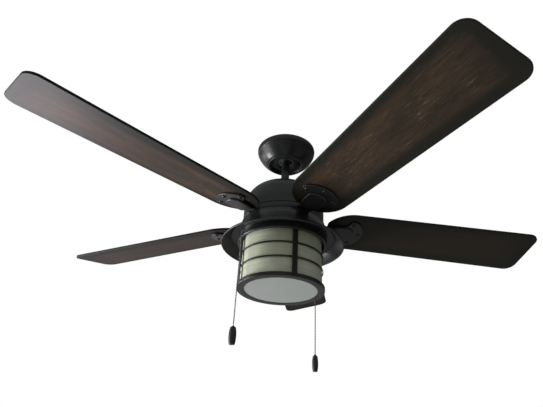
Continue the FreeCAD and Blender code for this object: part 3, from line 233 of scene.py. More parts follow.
def noiseOf(tree, vector, scale, detail=3.0, roughness=0.55):
    node = addNode(tree, "ShaderNodeTexNoise",
                   [("Vector", vector), ("Scale", scale), ("Detail", detail),
                    ("Roughness", roughness)])
    return node.outputs["Fac"]


def stretched(tree, vector, scale, shift=(0, 0, 0)):
    node = addNode(tree, "ShaderNodeMapping",
                   [("Vector", vector), ("Scale", scale), ("Location", shift)])
    return node.outputs["Vector"]


def colour(red, green, blue):
    return (red, green, blue, 1.0)


def startGroup(name, inputs, outputs):
    group = bpy.data.node_groups.new(name, "ShaderNodeTree")
    for socketName, kind, value in inputs:
        socket = group.interface.new_socket(socketName, in_out="INPUT", socket_type=kind)
        socket.default_value = value
    for socketName, kind in outputs:
        group.interface.new_socket(socketName, in_out="OUTPUT", socket_type=kind)
    return group, group.nodes.new("NodeGroupInput"), group.nodes.new("NodeGroupOutput")


# paint, plating and castings share this: soft mottling, fine speckle and rubbed edges
mottleScale, rubScale = 14.0, 160.0  # noise cells per metre


def makeAgedFinish():
    group, entry, leave = startGroup("agedFinish", [
        ("Colour", "NodeSocketColor", colour(0.02, 0.02, 0.02)),
        ("Rubbed", "NodeSocketColor", colour(0.1, 0.08, 0.06)),
        ("Rub Amount", "NodeSocketFloat", 0.5),
        ("Speckle Scale", "NodeSocketFloat", 900.0),
        ("Mottle", "NodeSocketFloat", 0.25),
        ("Roughness", "NodeSocketFloat", 0.4),
        ("Grain Depth", "NodeSocketFloat", 0.00002),
    ], [("Colour", "NodeSocketColor"), ("Roughness", "NodeSocketFloat"),
        ("Normal", "NodeSocketVector")])
    spot = addNode(group, "ShaderNodeTexCoord").outputs["Object"]
    speckle = noiseOf(group, spot, entry.outputs["Speckle Scale"], 2.0)
    mottle = noiseOf(group, spot, mottleScale, 4.0, 0.6)
    patchy = noiseOf(group, spot, rubScale, 3.0)
    edges = addNode(group, "ShaderNodeAttribute", attribute_name="edgeWear").outputs["Fac"]
    rub = mathOf(group, "MULTIPLY", mathOf(group, "MULTIPLY", edges, entry.outputs["Rub Amount"]),
                 spanOf(group, patchy, 0.35, 0.7))
    shade = swingOf(group, mottle, entry.outputs["Mottle"])
    darker = blendOf(group, 1.0, entry.outputs["Colour"],
                     addNode(group, "ShaderNodeCombineColor",
                             [(i, mathOf(group, "ADD", shade, 1.0)) for i in range(3)]).outputs[0],
                     "MULTIPLY")
    group.links.new(blendOf(group, rub, darker, entry.outputs["Rubbed"]), leave.inputs["Colour"])
    spread = mathOf(group, "ADD", mathOf(group, "MULTIPLY", shade, 0.45),
                    swingOf(group, speckle, 0.05))
    group.links.new(mathOf(group, "ADD", entry.outputs["Roughness"], spread),
                    leave.inputs["Roughness"])
    bump = addNode(group, "ShaderNodeBump",
                   [("Strength", 0.35), ("Distance", entry.outputs["Grain Depth"]),
                    ("Height", speckle)])
    group.links.new(bump.outputs["Normal"], leave.inputs["Normal"])
    return group


# stained board: U runs along the board, V across, and edgeBurn darkens towards the rim
boardNoise = {"drift": (1.6, 9.0), "bands": (3.5, 46.0), "fibres": (30.0, 480.0),
              "pores": (26.0, 560.0), "patches": (6.0, 15.0), "rubs": (30.0, 330.0),
              "rubPlaces": (8.0, 18.0)}  # noise cells per metre along and across the board
scuffColour = (0.36, 0.28, 0.2)


def makeBoardGrain():
    group, entry, leave = startGroup("boardGrain", [
        ("Light", "NodeSocketColor", colour(0.07, 0.045, 0.03)),
        ("Dark", "NodeSocketColor", colour(0.015, 0.011, 0.009)),
        ("Burnt", "NodeSocketColor", colour(0.008, 0.008, 0.008)),
        ("Roughness", "NodeSocketFloat", 0.45),
    ], [("Colour", "NodeSocketColor"), ("Roughness", "NodeSocketFloat"),
        ("Normal", "NodeSocketVector")])

    def grainNoise(kind, vector, shift=(0, 0, 0), detail=2.0, roughness=0.55):
        scale = (*boardNoise[kind], 1.0)
        return noiseOf(group, stretched(group, vector, scale, shift), 1.0, detail, roughness)

    flat = addNode(group, "ShaderNodeTexCoord").outputs["UV"]
    board = addNode(group, "ShaderNodeAttribute", attribute_name="boardShift").outputs["Fac"]
    places = addNode(group, "ShaderNodeSeparateXYZ", [("Vector", flat)])
    length, across = places.outputs["X"], places.outputs["Y"]
    shift = addNode(group, "ShaderNodeCombineXYZ",
                    [("X", mathOf(group, "MULTIPLY", board, 0.9)),
                     ("Y", mathOf(group, "MULTIPLY", board, 0.37))]).outputs["Vector"]
    uv = addNode(group, "ShaderNodeVectorMath", [(0, flat), (1, shift)],
                 operation="ADD").outputs["Vector"]
    drift = grainNoise("drift", uv)
    parts = addNode(group, "ShaderNodeSeparateXYZ", [("Vector", uv)])
    bent = mathOf(group, "ADD", parts.outputs["Y"], mathOf(group, "MULTIPLY", drift, 0.035))
    along = addNode(group, "ShaderNodeCombineXYZ",
                    [("X", parts.outputs["X"]), ("Y", bent)]).outputs["Vector"]
    bands = grainNoise("bands", along, detail=5.0, roughness=0.68)
    fibres = grainNoise("fibres", along, detail=5.0, roughness=0.75)
    pores = grainNoise("pores", along, (3, 7, 0), 3.0)
    patches = grainNoise("patches", uv, (1, 4, 0), 4.0, 0.65)
    tone = mathOf(group, "ADD", mathOf(group, "MULTIPLY", spanOf(group, bands, 0.3, 0.72), 0.4),
                  mathOf(group, "MULTIPLY", spanOf(group, fibres, 0.34, 0.68), 0.6))
    tone = mathOf(group, "MULTIPLY", tone, spanOf(group, patches, 0.3, 0.7, 0.35, 1.45))
    # painted shade: each board's wood is multiplied by its own lightness, set by how much light
    # falls on that blade
    depth = addNode(group, "ShaderNodeAttribute", attribute_name="paintedBoardShade").outputs["Fac"]
    tone = mathOf(group, "MULTIPLY", tone, depth)
    wood = blendOf(group, tone, entry.outputs["Dark"], entry.outputs["Light"])
    poreMask = mathOf(group, "MULTIPLY", spanOf(group, pores, 0.58, 0.7), 0.85)
    wood = blendOf(group, poreMask, wood, entry.outputs["Dark"])
    rubs = grainNoise("rubs", along, (9, 2, 0), 5.0, 0.8)
    rubPlaces = spanOf(group, grainNoise("rubPlaces", uv, (6, 3, 0)), 0.46, 0.62)
    nearIron = mathOf(group, "MULTIPLY", spanOf(group, length, 0.22, 0.26),
                      spanOf(group, length, 0.33, 0.28, 0.0, 0.9))
    rubMask = mathOf(group, "MULTIPLY", spanOf(group, rubs, 0.55, 0.66),
                     mathOf(group, "MAXIMUM", rubPlaces, nearIron))
    burn = addNode(group, "ShaderNodeAttribute", attribute_name="edgeBurn").outputs["Fac"]
    uneven = mathOf(group, "ADD", burn, swingOf(group, patches, 0.5))
    uneven = mathOf(group, "ADD", uneven, spanOf(group, across, -0.07, 0.07, -0.24, 0.12))
    uneven = mathOf(group, "ADD", uneven, swingOf(group, fibres, 0.8))
    tip = spanOf(group, length, 0.55, 0.66, 0.0, 0.7)
    root = spanOf(group, length, 0.16, 0.215, 0.6, 0.0)
    ends = mathOf(group, "MAXIMUM", tip, root)
    burnMask = mathOf(group, "MAXIMUM", spanOf(group, uneven, 0.08, 0.7), ends)
    burnMask = mathOf(group, "MULTIPLY", burnMask, 0.9)
    # the same painted shade also dims the scuffs
    scuffs = mathOf(group, "MULTIPLY", mathOf(group, "MULTIPLY", rubMask, 0.55), depth)
    wood = blendOf(group, scuffs, wood, colour(*scuffColour))
    group.links.new(blendOf(group, burnMask, wood, entry.outputs["Burnt"]),
                    leave.inputs["Colour"])
    rough = mathOf(group, "ADD", entry.outputs["Roughness"], swingOf(group, fibres, 0.22))
    group.links.new(rough, leave.inputs["Roughness"])
    relief = mathOf(group, "SUBTRACT", fibres, mathOf(group, "MULTIPLY", poreMask, 0.8))
    bump = addNode(group, "ShaderNodeBump",
                   [("Strength", 0.5), ("Distance", 0.00013), ("Height", relief)])
    group.links.new(bump.outputs["Normal"], leave.inputs["Normal"])
    return group


# opal glass with fine threads running round it
threadsRound, cloudScale = 9.0, 22.0  # noise cells per metre


def makeThreadedGlass():
    group, entry, leave = startGroup("threadedGlass", [
        ("Light", "NodeSocketColor", colour(0.6, 0.6, 0.5)),
        ("Dark", "NodeSocketColor", colour(0.4, 0.41, 0.32)),
        ("Thread Scale", "NodeSocketFloat", 700.0),
        ("Threads", "NodeSocketFloat", 0.6),
    ], [("Colour", "NodeSocketColor"), ("Roughness", "NodeSocketFloat"),
        ("Normal", "NodeSocketVector")])
    spot = addNode(group, "ShaderNodeTexCoord").outputs["Object"]
    parts = addNode(group, "ShaderNodeSeparateXYZ", [("Vector", spot)])
    tall = mathOf(group, "MULTIPLY", parts.outputs["Z"], entry.outputs["Thread Scale"])
    wide = addNode(group, "ShaderNodeCombineXYZ",
                   [("X", mathOf(group, "MULTIPLY", parts.outputs["X"], threadsRound)),
                    ("Y", mathOf(group, "MULTIPLY", parts.outputs["Y"], threadsRound)),
                    ("Z", tall)]).outputs["Vector"]
    threads = noiseOf(group, wide, 1.0, 3.0, 0.65)
    clouds = noiseOf(group, spot, cloudScale, 3.0)
    tone = mathOf(group, "ADD", swingOf(group, threads, entry.outputs["Threads"]),
                  spanOf(group, clouds, 0.2, 0.8, 0.35, 0.75))
    group.links.new(blendOf(group, tone, entry.outputs["Dark"], entry.outputs["Light"]),
                    leave.inputs["Colour"])
    group.links.new(spanOf(group, threads, 0.2, 0.8, 0.28, 0.44), leave.inputs["Roughness"])
    bump = addNode(group, "ShaderNodeBump",
                   [("Strength", 0.25), ("Distance", 0.0001), ("Height", threads)])
    group.links.new(bump.outputs["Normal"], leave.inputs["Normal"])
    return group


agedFinish = makeAgedFinish()
boardGrain = makeBoardGrain()
threadedGlass = makeThreadedGlass()


def makeMaterial(name, group, groupValues, shaderValues=()):
    material = bpy.data.materials.new(name)
    material.use_nodes = True
    tree = material.node_tree
    shader = tree.nodes["Principled BSDF"]
    for socket, value in shaderValues:
        shader.inputs[socket].default_value = value
    effect = tree.nodes.new("ShaderNodeGroup")
    effect.node_tree = group
    for socket, value in groupValues:
        effect.inputs[socket].default_value = value
    tree.links.new(effect.outputs["Colour"], shader.inputs["Base Color"])
    tree.links.new(effect.outputs["Roughness"], shader.inputs["Roughness"])
    tree.links.new(effect.outputs["Normal"], shader.inputs["Normal"])
    return material


def agedMaterial(name, base, rubbed, rub, roughness, metallic=0.0, speckle=900.0, mottle=0.3,
                 depth=0.00002):
    return makeMaterial(name, agedFinish, [
        ("Colour", colour(*base)), ("Rubbed", colour(*rubbed)), ("Rub Amount", rub),
        ("Speckle Scale", speckle), ("Mottle", mottle), ("Roughness", roughness),
        ("Grain Depth", depth)], [("Metallic", metallic)])


finishes = {
    "bronze_paint": agedMaterial("bronzePaint", (0.024, 0.0265, 0.025), (0.075, 0.065, 0.055),
                                 0.3, 0.29, mottle=0.3, depth=0.000004),
    # partly wear, partly painted highlight: more and lighter rubbed rims than the paint, so the
    # screw heads read as glints
    "bright_bronze": agedMaterial("bronzeWithPaintedGlint", (0.022, 0.025, 0.027), (0.1, 0.09, 0.08),
                                  0.5, 0.26, mottle=0.4, depth=0.000006),
    "galvanised_steel": agedMaterial("galvanisedSteel", (0.3, 0.31, 0.32), (0.5, 0.5, 0.5),
                                     0.4, 0.5, 1.0, 240.0, 0.5),
    "ball_nylon": agedMaterial("ballNylon", (0.014, 0.014, 0.015), (0.04, 0.04, 0.04), 0.5, 0.6),
    "cast_iron_grey": agedMaterial("castIron", (0.16, 0.16, 0.17), (0.4, 0.4, 0.4), 0.5, 0.6,
                                   0.9, 500.0, 0.4, 0.00008),
    "copper_wire": agedMaterial("copperWire", (0.52, 0.22, 0.09), (0.8, 0.4, 0.2), 0.5, 0.35,
                                1.0, 1600.0, 0.4, 0.00012),
    "cast_aluminium": agedMaterial("castAluminium", (0.52, 0.53, 0.54), (0.75, 0.75, 0.75),
                                   0.5, 0.5, 1.0, 420.0, 0.3, 0.00008),
    "capacitor_case": agedMaterial("capacitorCase", (0.04, 0.04, 0.045), (0.1, 0.1, 0.1),
                                   0.4, 0.3),
    "lamp_glass": agedMaterial("lampGlass", (0.85, 0.85, 0.82), (0.9, 0.9, 0.9), 0.0, 0.25,
                               mottle=0.05),
    "socket_porcelain": agedMaterial("socketPorcelain", (0.75, 0.74, 0.7), (0.9, 0.9, 0.9),
                                     0.0, 0.2, mottle=0.1),
    "chain_metal": agedMaterial("chainMetal", (0.22, 0.19, 0.155), (0.5, 0.43, 0.33), 0.6, 0.36,
                                1.0, 900.0, 0.6),
    "pendant_metal": agedMaterial("pendantMetal", (0.03, 0.033, 0.03), (0.2, 0.15, 0.09),
                                  0.9, 0.36, 0.0, 700.0, 0.5),
    "walnut_board": makeMaterial("walnutBoard", boardGrain, [
        ("Light", colour(0.126, 0.073, 0.039)), ("Dark", colour(0.027, 0.021, 0.0155)),
        ("Burnt", colour(0.015, 0.0155, 0.012)), ("Roughness", 0.45)],
        [("Specular IOR Level", 0.2)]),
    "linen_glass": makeMaterial("linenGlass", threadedGlass, [
        ("Light", colour(0.9, 0.91, 0.73)), ("Dark", colour(0.5, 0.52, 0.37)),
        ("Thread Scale", 520.0), ("Threads", 1.3)],
        [("Subsurface Weight", 0.15), ("Subsurface Scale", 0.01)]),
    "frosted_glass": makeMaterial("frostedGlass", threadedGlass, [
        ("Light", colour(0.5, 0.52, 0.49)), ("Dark", colour(0.45, 0.465, 0.44)),
        ("Thread Scale", 60.0), ("Threads", 0.15)]),
}
slotOf = {part["node"]: part["material_slot"] for part in frame["record"]["subparts"]}
for nodeName, node in frame["nodes"].items():
    node.data.materials.clear()
    node.data.materials.append(finishes[slotOf[nodeName]])
print("materials made:", len(finishes))


def makeTurned(name, corners, level, body, node, steps=144, closed=True):
    return finishPiece(name, turned(corners, level, steps, closed), body, node)


# canopy and downrod

canopyShape = {"radius": 77.8, "wall": 1.2, "rim": 21, "lip": 46.7, "height": 53.4,
               "floor": 45.6, "hole": 24, "screwX": 36}


def makeCanopy():
    s = canopyShape
    radius, wall, lip, height, rim = s["radius"], s["wall"], s["lip"], s["height"], s["rim"]
    crown = (radius - 5.3, 0)
    belly = (radius, -rim * 0.4)
    tuck = (radius - 2.6, -rim * 0.92)
    bowlTop = (radius - 4, -rim - 1.5)
    bowlMiddle = (radius - 11, -height * 0.64)
    bowlLow = (lip + 3.3, -height + 2.9)
    inTop = (radius - 3.7 - wall, -rim)
    inMiddle = (bowlMiddle[0] - wall * 0.84, bowlMiddle[1] + wall * 0.54)
    inLow = (lip + 2.4, -height + 4.3)
    corners = [
        crown, *arcTo(crown, (radius - 1.2, -rim * 0.15), belly, 10),
        *arcTo(belly, (radius - 0.6, -rim * 0.69), tuck, 10),
        (radius - 4, -rim * 0.94, 0.25), (radius - 4, -rim * 0.98, 0.25),
        (radius - 3.2, -rim, 0.4), (radius - 3.3, -rim - 1.1, 0.6), bowlTop,
        *arcTo(bowlTop, bowlMiddle, bowlLow, 22),
        (lip + 0.4, -height + 2.6, 0.6), (lip + 0.2, -height, 1.2), (lip - 2.6, -height, 1.2),
        (lip - 4.2, -s["floor"], 1.4), (s["hole"], -s["floor"], 0.4),
        (s["hole"], -s["floor"] + wall, 0.4), (lip - 3.4, -s["floor"] + wall, 0.8),
        (lip - 2.1, -height + 3.4, 0.6), inLow, *arcTo(inLow, inMiddle, inTop, 16),
        (radius - 1.6 - wall, -rim * 0.69), (radius - wall, -rim * 0.4),
        (radius - 1.3 - wall, -rim * 0.2), (crown[0] - wall, 0),
    ]
    makeTurned("canopyShell", corners, ceilingLevel, "ceiling_mount", "canopy")


rodShape = {"outer": 10.65, "bore": 7.85}


def makeDownrod():
    low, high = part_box("downrod")
    outer, bore = rodShape["outer"], rodShape["bore"]
    top, bottom = high.z / mm, low.z / mm
    makeTurned("downTube", [(bore, bottom, 0.4), (outer, bottom, 0.8), (outer, top, 0.8),
                            (bore, top, 0.4)], 0, "suspension", "downrod", 64)


makeCanopy()
makeDownrod()
print("canopy and downrod made")


# motor cover and turning band

coverShape = {"hole": 11.85, "top": 114, "shoulder": 98, "skirt": 101.4, "low": 14.5,
              "wall": 1.5}


def makeMotorCover():
    s = coverShape
    top, wall, shoulder, skirt = s["top"], s["wall"], s["shoulder"], s["skirt"]
    crown = (26, top)
    slope = (shoulder - 28, top - 17)
    brow = (shoulder, top - 56)
    waist = (skirt, top - 87)
    corners = [
        (s["hole"], top + 1.2, 0.5), (s["hole"] + 1.6, top + 0.7, 0.5), crown,
        *arcTo(crown, (50, top - 7.6), slope, 10),
        *arcTo(slope, (shoulder - 9.5, top - 32.5), brow, 16),
        *arcTo(brow, (shoulder + 2.8, top - 71), waist, 10),
        (skirt, s["low"], 0.9), (skirt - wall, s["low"], 0.4),
        (skirt - wall, top - 87), (shoulder + 2.8 - wall, top - 71),
        (shoulder - wall, top - 56.3), (shoulder - 10.7, top - 33.4),
        (shoulder - 28.8, top - 18.4), (50, top - 7.6 - wall), (31, top - 5.5),
        (s["hole"], top - 5.5, 0.5),
    ]
    makeTurned("motorDome", corners, bladeLevel, "suspension", "motor_cover", 168)


bandShape = {"outside": 101.4, "wall": 5, "top": 13.5, "web": 6.5, "webWall": 5, "hub": 17.5,
             "hubLow": 1.5, "rotor": 90, "rotorWall": 4, "rotorTop": 34, "groove": 4,
             "grooveDeep": 0.45, "grooveHalf": 0.4}


def makeTurningBand():
    s = bandShape
    outside, top, hub, low, rotor = s["outside"], s["top"], s["hub"], s["hubLow"], s["rotor"]
    boss, inner = hub + 4, outside - s["wall"]
    corners = [
        (hub - s["webWall"], low), (boss, low), (boss, s["web"]), (inner, s["web"]),
        (inner, 0, 0.3), (outside, 0, 0.9),
        (outside, s["groove"] - s["grooveHalf"], 0.25),
        (outside - s["grooveDeep"], s["groove"]),
        (outside, s["groove"] + s["grooveHalf"], 0.25),
        (outside, top, 0.9), (rotor, top), (rotor, s["rotorTop"]),
        (rotor - s["rotorWall"], s["rotorTop"]), (rotor - s["rotorWall"], top), (boss, top),
        (boss, top + 0.5), (hub, top + 0.5), (hub, low + 1.5), (hub - s["webWall"], low + 1.5),
    ]
    makeTurned("turningBand", corners, bladeLevel, "rotor", "rotor_lower_bell", 168)


makeMotorCover()
makeTurningBand()
print("motor cover made")


# screws: one pan head with a cross recess, made once and set down where it is needed

screwHead = {"radius": 5, "height": 2.2, "crossWidth": 1.1, "crossReach": 2.9, "deep": 1.5}


def makeScrewHead():
    s = screwHead
    radius, height = s["radius"], s["height"]
    rim = (radius, height * 0.45)
    bm = turned([(0, 0), (radius, 0, 0.25), rim,
                 *arcTo(rim, (radius * 0.76, height * 0.86), (0, height), 8)],
                0, 32, False, 2)
    bmesh.ops.remove_doubles(bm, verts=bm.verts[:], dist=mergeDistance)
    bmesh.ops.recalc_face_normals(bm, faces=bm.faces[:])
    half, reach = s["crossWidth"] / 2, s["crossReach"]
    cutters = []
    for across, along in ((half, reach), (reach, half)):
        outline = [(-across, -along), (across, -along), (across, along), (-across, along)]
        cutters.append(makeObject("cutter", plate(outline, height - s["deep"], height + 2)))
    head = makeObject("screwHead", bm)
    for cutter in cutters:
        cut = head.modifiers.new("cross", "BOOLEAN")
        cut.object = cutter
        cut.solver = "EXACT"
    evaluated = head.evaluated_get(bpy.context.evaluated_depsgraph_get())
    made = bpy.data.meshes.new_from_object(evaluated)
    for item in (head, *cutters):
        bpy.data.objects.remove(item)
    return made


screwHeadMesh = makeScrewHead()


def addScrew(target, place, facing, sizes, turn):
    # facing is the way the head looks; the shank goes the other way from place
    pose = Matrix.Translation(place) @ facing.to_track_quat("Z", "Y").to_matrix().to_4x4()
    pose = pose @ Matrix.Rotation(turn, 4, "Z")
    head = bmesh.new()
    head.from_mesh(screwHeadMesh)
    wider = sizes["radius"] / screwHead["radius"]
    taller = sizes["height"] / screwHead["height"]
    addTo(target, head, pose @ Matrix.Diagonal((wider, wider, taller, 1)))
    shank = bmesh.new()
    radius, length = sizes["shankRadius"] * mm, sizes["shankLength"]
    bmesh.ops.create_cone(shank, cap_ends=True, segments=16, radius1=radius, radius2=radius,
                          depth=length * mm)
    bmesh.ops.translate(shank, vec=(0, 0, -length / 2 * mm), verts=shank.verts[:])
    addTo(target, shank, pose)


def polar(radius, azimuth, height=0.0):
    angle = math.radians(azimuth)
    return Vector((radius * mm * math.cos(angle), radius * mm * math.sin(angle),
                   bladeLevel + height * mm))


canopyScrew = {"radius": 4, "height": 2, "shankRadius": 1.9, "shankLength": 7}
coverScrew = {"radius": 3.6, "height": 2, "shankRadius": 1.85, "shankLength": 9.5,
              "circle": 22, "azimuths": (90, 210, 330)}
bladeScrew = {"radius": 5, "height": 2.2, "shankRadius": 2.5, "shankLength": 9}


def makeCanopyScrews():
    bm = startPiece()
    for side in (-1, 1):
        place = Vector((side * canopyShape["screwX"] * mm, 0,
                        ceilingLevel - canopyShape["floor"] * mm))
        addScrew(bm, place, Vector((0, 0, -1)), canopyScrew, side)
    # the canopy screws wear the finish with painted highlights on their rubbed rims
    finishPiece("canopyScrews", bm, "ceiling_mount", "canopy_screws", "bright_bronze")


def makeCoverScrews():
    bm = startPiece()
    for azimuth in coverScrew["azimuths"]:
        place = polar(coverScrew["circle"], azimuth, coverShape["top"] + 0.2)
        addScrew(bm, place, Vector((0, 0, 1)), coverScrew, azimuth)
    finishPiece("coverScrews", bm, "suspension", "cover_screws")


makeCanopyScrews()
makeCoverScrews()
print("screws made")


# blades: U and V are metres along and across each board

bladeShape = {"count": 5, "pitch": 12.66, "azimuth": 5.2, "tip": 660.4, "tipWidth": 150.6,
              "root": 111, "rootWidth": 134, "shoulder": 64, "endWidth": 52, "corner": 27,
              "lift": 1, "thickness": 5.5, "rim": 1.3,
              "paintedShades": (0.08, 0.6, 0.25, 0.72, 0.72)}  # painted shade: how light each board is drawn, darker on blades that get less light
burnRings = [(0, 1.0), (9, 0.85), (21, 0.48), (38, 0.06)]  # mm inside the rim, and how burnt


def bladeOutline(inset):
    s = bladeShape
    root, shoulder = s["root"] + inset * 0.9, s["root"] + s["shoulder"]
    half, far, end = s["rootWidth"] / 2 - inset, s["tipWidth"] / 2 - inset, s["endWidth"] / 2
    bulge = s["root"] + s["shoulder"] * 0.39 + inset * 0.45
    end -= inset * 0.5
    rootLeft, rootRight = (root, -end), (root, end)
    sideLeft, sideRight = (shoulder, -half), (shoulder, half)
    lower = arcTo(rootLeft, (bulge, -half * 0.8), sideLeft, 14)
    upper = arcTo(sideRight, (bulge, half * 0.8), rootRight, 14)
    tip, corner = s["tip"] - inset * 1.3, s["corner"] - inset * 0.6
    return [(*rootLeft, 3), *lower, (tip, -far, corner), (tip, far, corner), sideRight,
            *upper[:-1], (*rootRight, 3)]


def levelFrame(index):
    azimuth = bladeShape["azimuth"] + 360 * index / bladeShape["count"]
    return (Matrix.Translation((0, 0, bladeLevel))
            @ Matrix.Rotation(math.radians(azimuth), 4, "Z"))


def bladeFrame(index):
    return levelFrame(index) @ Matrix.Rotation(math.radians(-bladeShape["pitch"]), 4, "X")


def makeBlade(index):
    s = bladeShape
    bm = bmesh.new()
    burn = bm.verts.layers.float.new("edgeBurn")
    shift = bm.verts.layers.float.new("boardShift")
    # painted shade per board, read by the wood finish
    depth = bm.verts.layers.float.new("paintedBoardShade")
    grain = bm.loops.layers.uv.new("board")
    bm.verts.layers.float.new("edgeWear")
    rings = []
    for inset, burnt in burnRings:
        known = set(bm.edges)
        drawOutline(bm, bladeOutline(inset), flatPlace, True, 10)
        rings.append([edge for edge in bm.edges if edge not in known])
        for edge in rings[-1]:
            for vert in edge.verts:
                vert[burn] = burnt
    for outer, inner in zip(rings, rings[1:]):
        bmesh.ops.bridge_loops(bm, edges=outer + inner)
    bmesh.ops.contextual_create(bm, geom=rings[-1])
    bmesh.ops.translate(bm, vec=(0, 0, s["lift"] * mm), verts=bm.verts[:])
    raised = bmesh.ops.extrude_face_region(bm, geom=bm.faces[:])
    lifted = [item for item in raised["geom"] if isinstance(item, bmesh.types.BMVert)]
    bmesh.ops.translate(bm, vec=(0, 0, s["thickness"] * mm), verts=lifted)
    softenRims(bm, s["rim"], 3)
    for vert in bm.verts:
        vert[shift] = index
        # painted shade: each blade gets its own lightness, darker where less light falls on it
        vert[depth] = s["paintedShades"][index]
    for face in bm.faces:
        for loop in face.loops:
            loop[grain].uv = loop.vert.co.xy
    bm.transform(bladeFrame(index))
    finishPiece(f"blade{index + 1}", bm, "rotor", f"blade_{index + 1}")


# blade irons: a flat foot, a twisting arm and a plate with a raised ridge

ironShape = {"foot": 60, "width": 34, "footThick": 6.5, "armThick": 5, "plateThick": 4,
             "plateWidth": 87, "plateEnd": 205, "ridge": 4, "ridgeWidth": 48, "bend": 103,
             "screwNear": 175, "screwFar": 194, "screwSide": 35}


def ironArm():
    # a bar drawn out from the foot, twisted to the blade's pitch
    s = ironShape
    half = s["width"] / 2
    bm = bmesh.new()
    drawOutline(bm, [(-half, 0, 0.8), (half, 0, 0.8), (half, s["footThick"], 0.8),
                     (-half, s["footThick"], 0.8)], lambda y, z: (s["foot"] * mm, y * mm, z * mm))
    start = bmesh.ops.contextual_create(bm, geom=bm.edges[:])["faces"][0]
    root = bladeShape["root"]
    thinner = s["armThick"] / s["footThick"]
    middle = s["footThick"] / 2
    newMiddle = bladeShape["lift"] - s["armThick"] / 2
    face = start
    stations = [(s["bend"], 0.0)] + [(s["bend"] + (root - s["bend"]) * t, t)
                                     for t in (0.25, 0.5, 0.75, 1.0)] + [(root + 26, 1.0)]
    done = 0.0
    reached = s["foot"]
    for radius, part in stations:
        result = bmesh.ops.extrude_discrete_faces(bm, faces=[face])
        face = result["faces"][0]
        verts = face.verts[:]
        ease = part * part * (3 - 2 * part)
        before = done * done * (3 - 2 * done)
        bmesh.ops.translate(bm, vec=((radius - reached) * mm, 0, 0), verts=verts)
        centreOld = middle + (newMiddle - middle) * before
        centreNew = middle + (newMiddle - middle) * ease
        pitch = -math.radians(bladeShape["pitch"])
        undo = Matrix.Rotation(-pitch * before, 4, "X")
        for vert in verts:
            flat = undo @ Vector((0, vert.co.y, vert.co.z))
            height = (flat.z / mm - centreOld) / (1 + (thinner - 1) * before)
            height = centreNew + height * (1 + (thinner - 1) * ease)
            bent = Matrix.Rotation(pitch * ease, 4, "X") @ Vector((0, flat.y, height * mm))
            vert.co.y, vert.co.z = bent.y, bent.z
        done = part
        reached = radius
    bmesh.ops.recalc_face_normals(bm, faces=bm.faces[:])
    return bm


def ironPlate():
    s = ironShape
    half, wide = s["width"] / 2, s["plateWidth"] / 2
    inner, near, end = bladeShape["root"] + 17, s["screwNear"], s["plateEnd"]
    low, high = bladeShape["lift"] - s["plateThick"], bladeShape["lift"]
    lobe = (near - 8, -wide)
    lobeEnd = (near + 15, -wide + 5.5)
    farEnd = (near + 15, wide - 5.5)
    farLobe = (near - 8, wide)
    corners = [
        (inner, -half), *arcTo((inner, -half), (near - 22, -half - 7), lobe, 10),
        *arcTo(lobe, (near + 6, -wide - 1), lobeEnd, 8),
        *arcTo(lobeEnd, (end, 0), farEnd, 24),
        *arcTo(farEnd, (near + 6, wide + 1), farLobe, 8),
        *arcTo(farLobe, (near - 22, half + 7), (inner, half), 10),
    ]
    return plate(corners, low, high, 1.1)


def ironRidge():
    s = ironShape
    half, side = s["width"] / 2, s["ridgeWidth"] / 2
    inner, near = bladeShape["root"] + 17, s["screwNear"]
    low = bladeShape["lift"] - s["plateThick"] - s["ridge"]
    start, end = (near - 9, -side), (near - 9, side)
    corners = [
        (inner - 6, -half, 2), (inner + 5, -side + 0.5, 8), start,
        *arcTo(start, (near + 6, 0), end, 20), (inner + 5, side - 0.5, 8),
        (inner - 6, half, 2),
    ]
    return plate(corners, low, low + s["ridge"] + 1, 3.3, 6, 6)


def makeIron(index):
    bm = startPiece()
    addTo(bm, ironArm(), levelFrame(index))
    addTo(bm, ironPlate(), bladeFrame(index))
    addTo(bm, ironRidge(), bladeFrame(index))
    finishPiece(f"bladeIron{index + 1}", bm, "rotor", f"blade_iron_{index + 1}")


def makeBladeScrews():
    s = ironShape
    bm = startPiece()
    under = bladeShape["lift"] - s["plateThick"]
    places = [(s["screwNear"], s["screwSide"]), (s["screwNear"], -s["screwSide"]),
              (s["screwFar"], 0)]
    for index in range(bladeShape["count"]):
        pose = bladeFrame(index)
        down = (pose.to_3x3() @ Vector((0, 0, -1))).normalized()
        for turn, (x, y) in enumerate(places):
            place = pose @ Vector((x * mm, y * mm, under * mm))
            addScrew(bm, place, down, bladeScrew, index + turn * 0.9)
    finishPiece("bladeScrews", bm, "rotor", "blade_screws")


for bladeIndex in range(bladeShape["count"]):
    makeBlade(bladeIndex)
    makeIron(bladeIndex)
makeBladeScrews()
print("blades and irons made")


# hood and collar

hoodShape = {"neck": 104.4, "top": -3, "floor": -9, "rim": 150.7, "rimLow": -60.7,
             "wall": 1.5}


def makeHood():
    s = hoodShape
    wall, rim, neck, low = s["wall"], s["rim"], s["neck"], s["rimLow"]
    flareTop = (neck + 3, low + 46.5)
    flareLow = (rim - 1.2, low + 4.6)
    inLow = (rim - wall - 0.2, low + 2.4)
    inMiddle = (rim - 18.7 - wall * 0.7, low + 18.7 - wall * 0.75)
    inTop = (neck + 3 - wall * 0.9, low + 46.5 - wall * 0.4)
    corners = [
        (36, s["floor"] - wall), (36, s["floor"]), (neck - wall, s["floor"]),
        (neck - wall, s["top"], 0.5), (neck, s["top"], 0.5), (neck + 0.4, low + 53.2), flareTop,
        *arcTo(flareTop, (rim - 18.7, low + 18.7), flareLow, 20),
        (rim, low + 3.4, 0.8), (rim, low, 1.2), (rim - wall - 1.7, low, 0.5),
        (rim - wall - 1.7, low + wall, 0.5), inLow, *arcTo(inLow, inMiddle, inTop, 18),
        (neck - wall, s["floor"] - wall),
    ]
    makeTurned("hoodShell", corners, bladeLevel, "suspension", "hood", 192)


collarShape = {"radius": 110, "low": -59, "top": -41.5, "wall": 1.5, "seat": 102.45, "hub": 74}


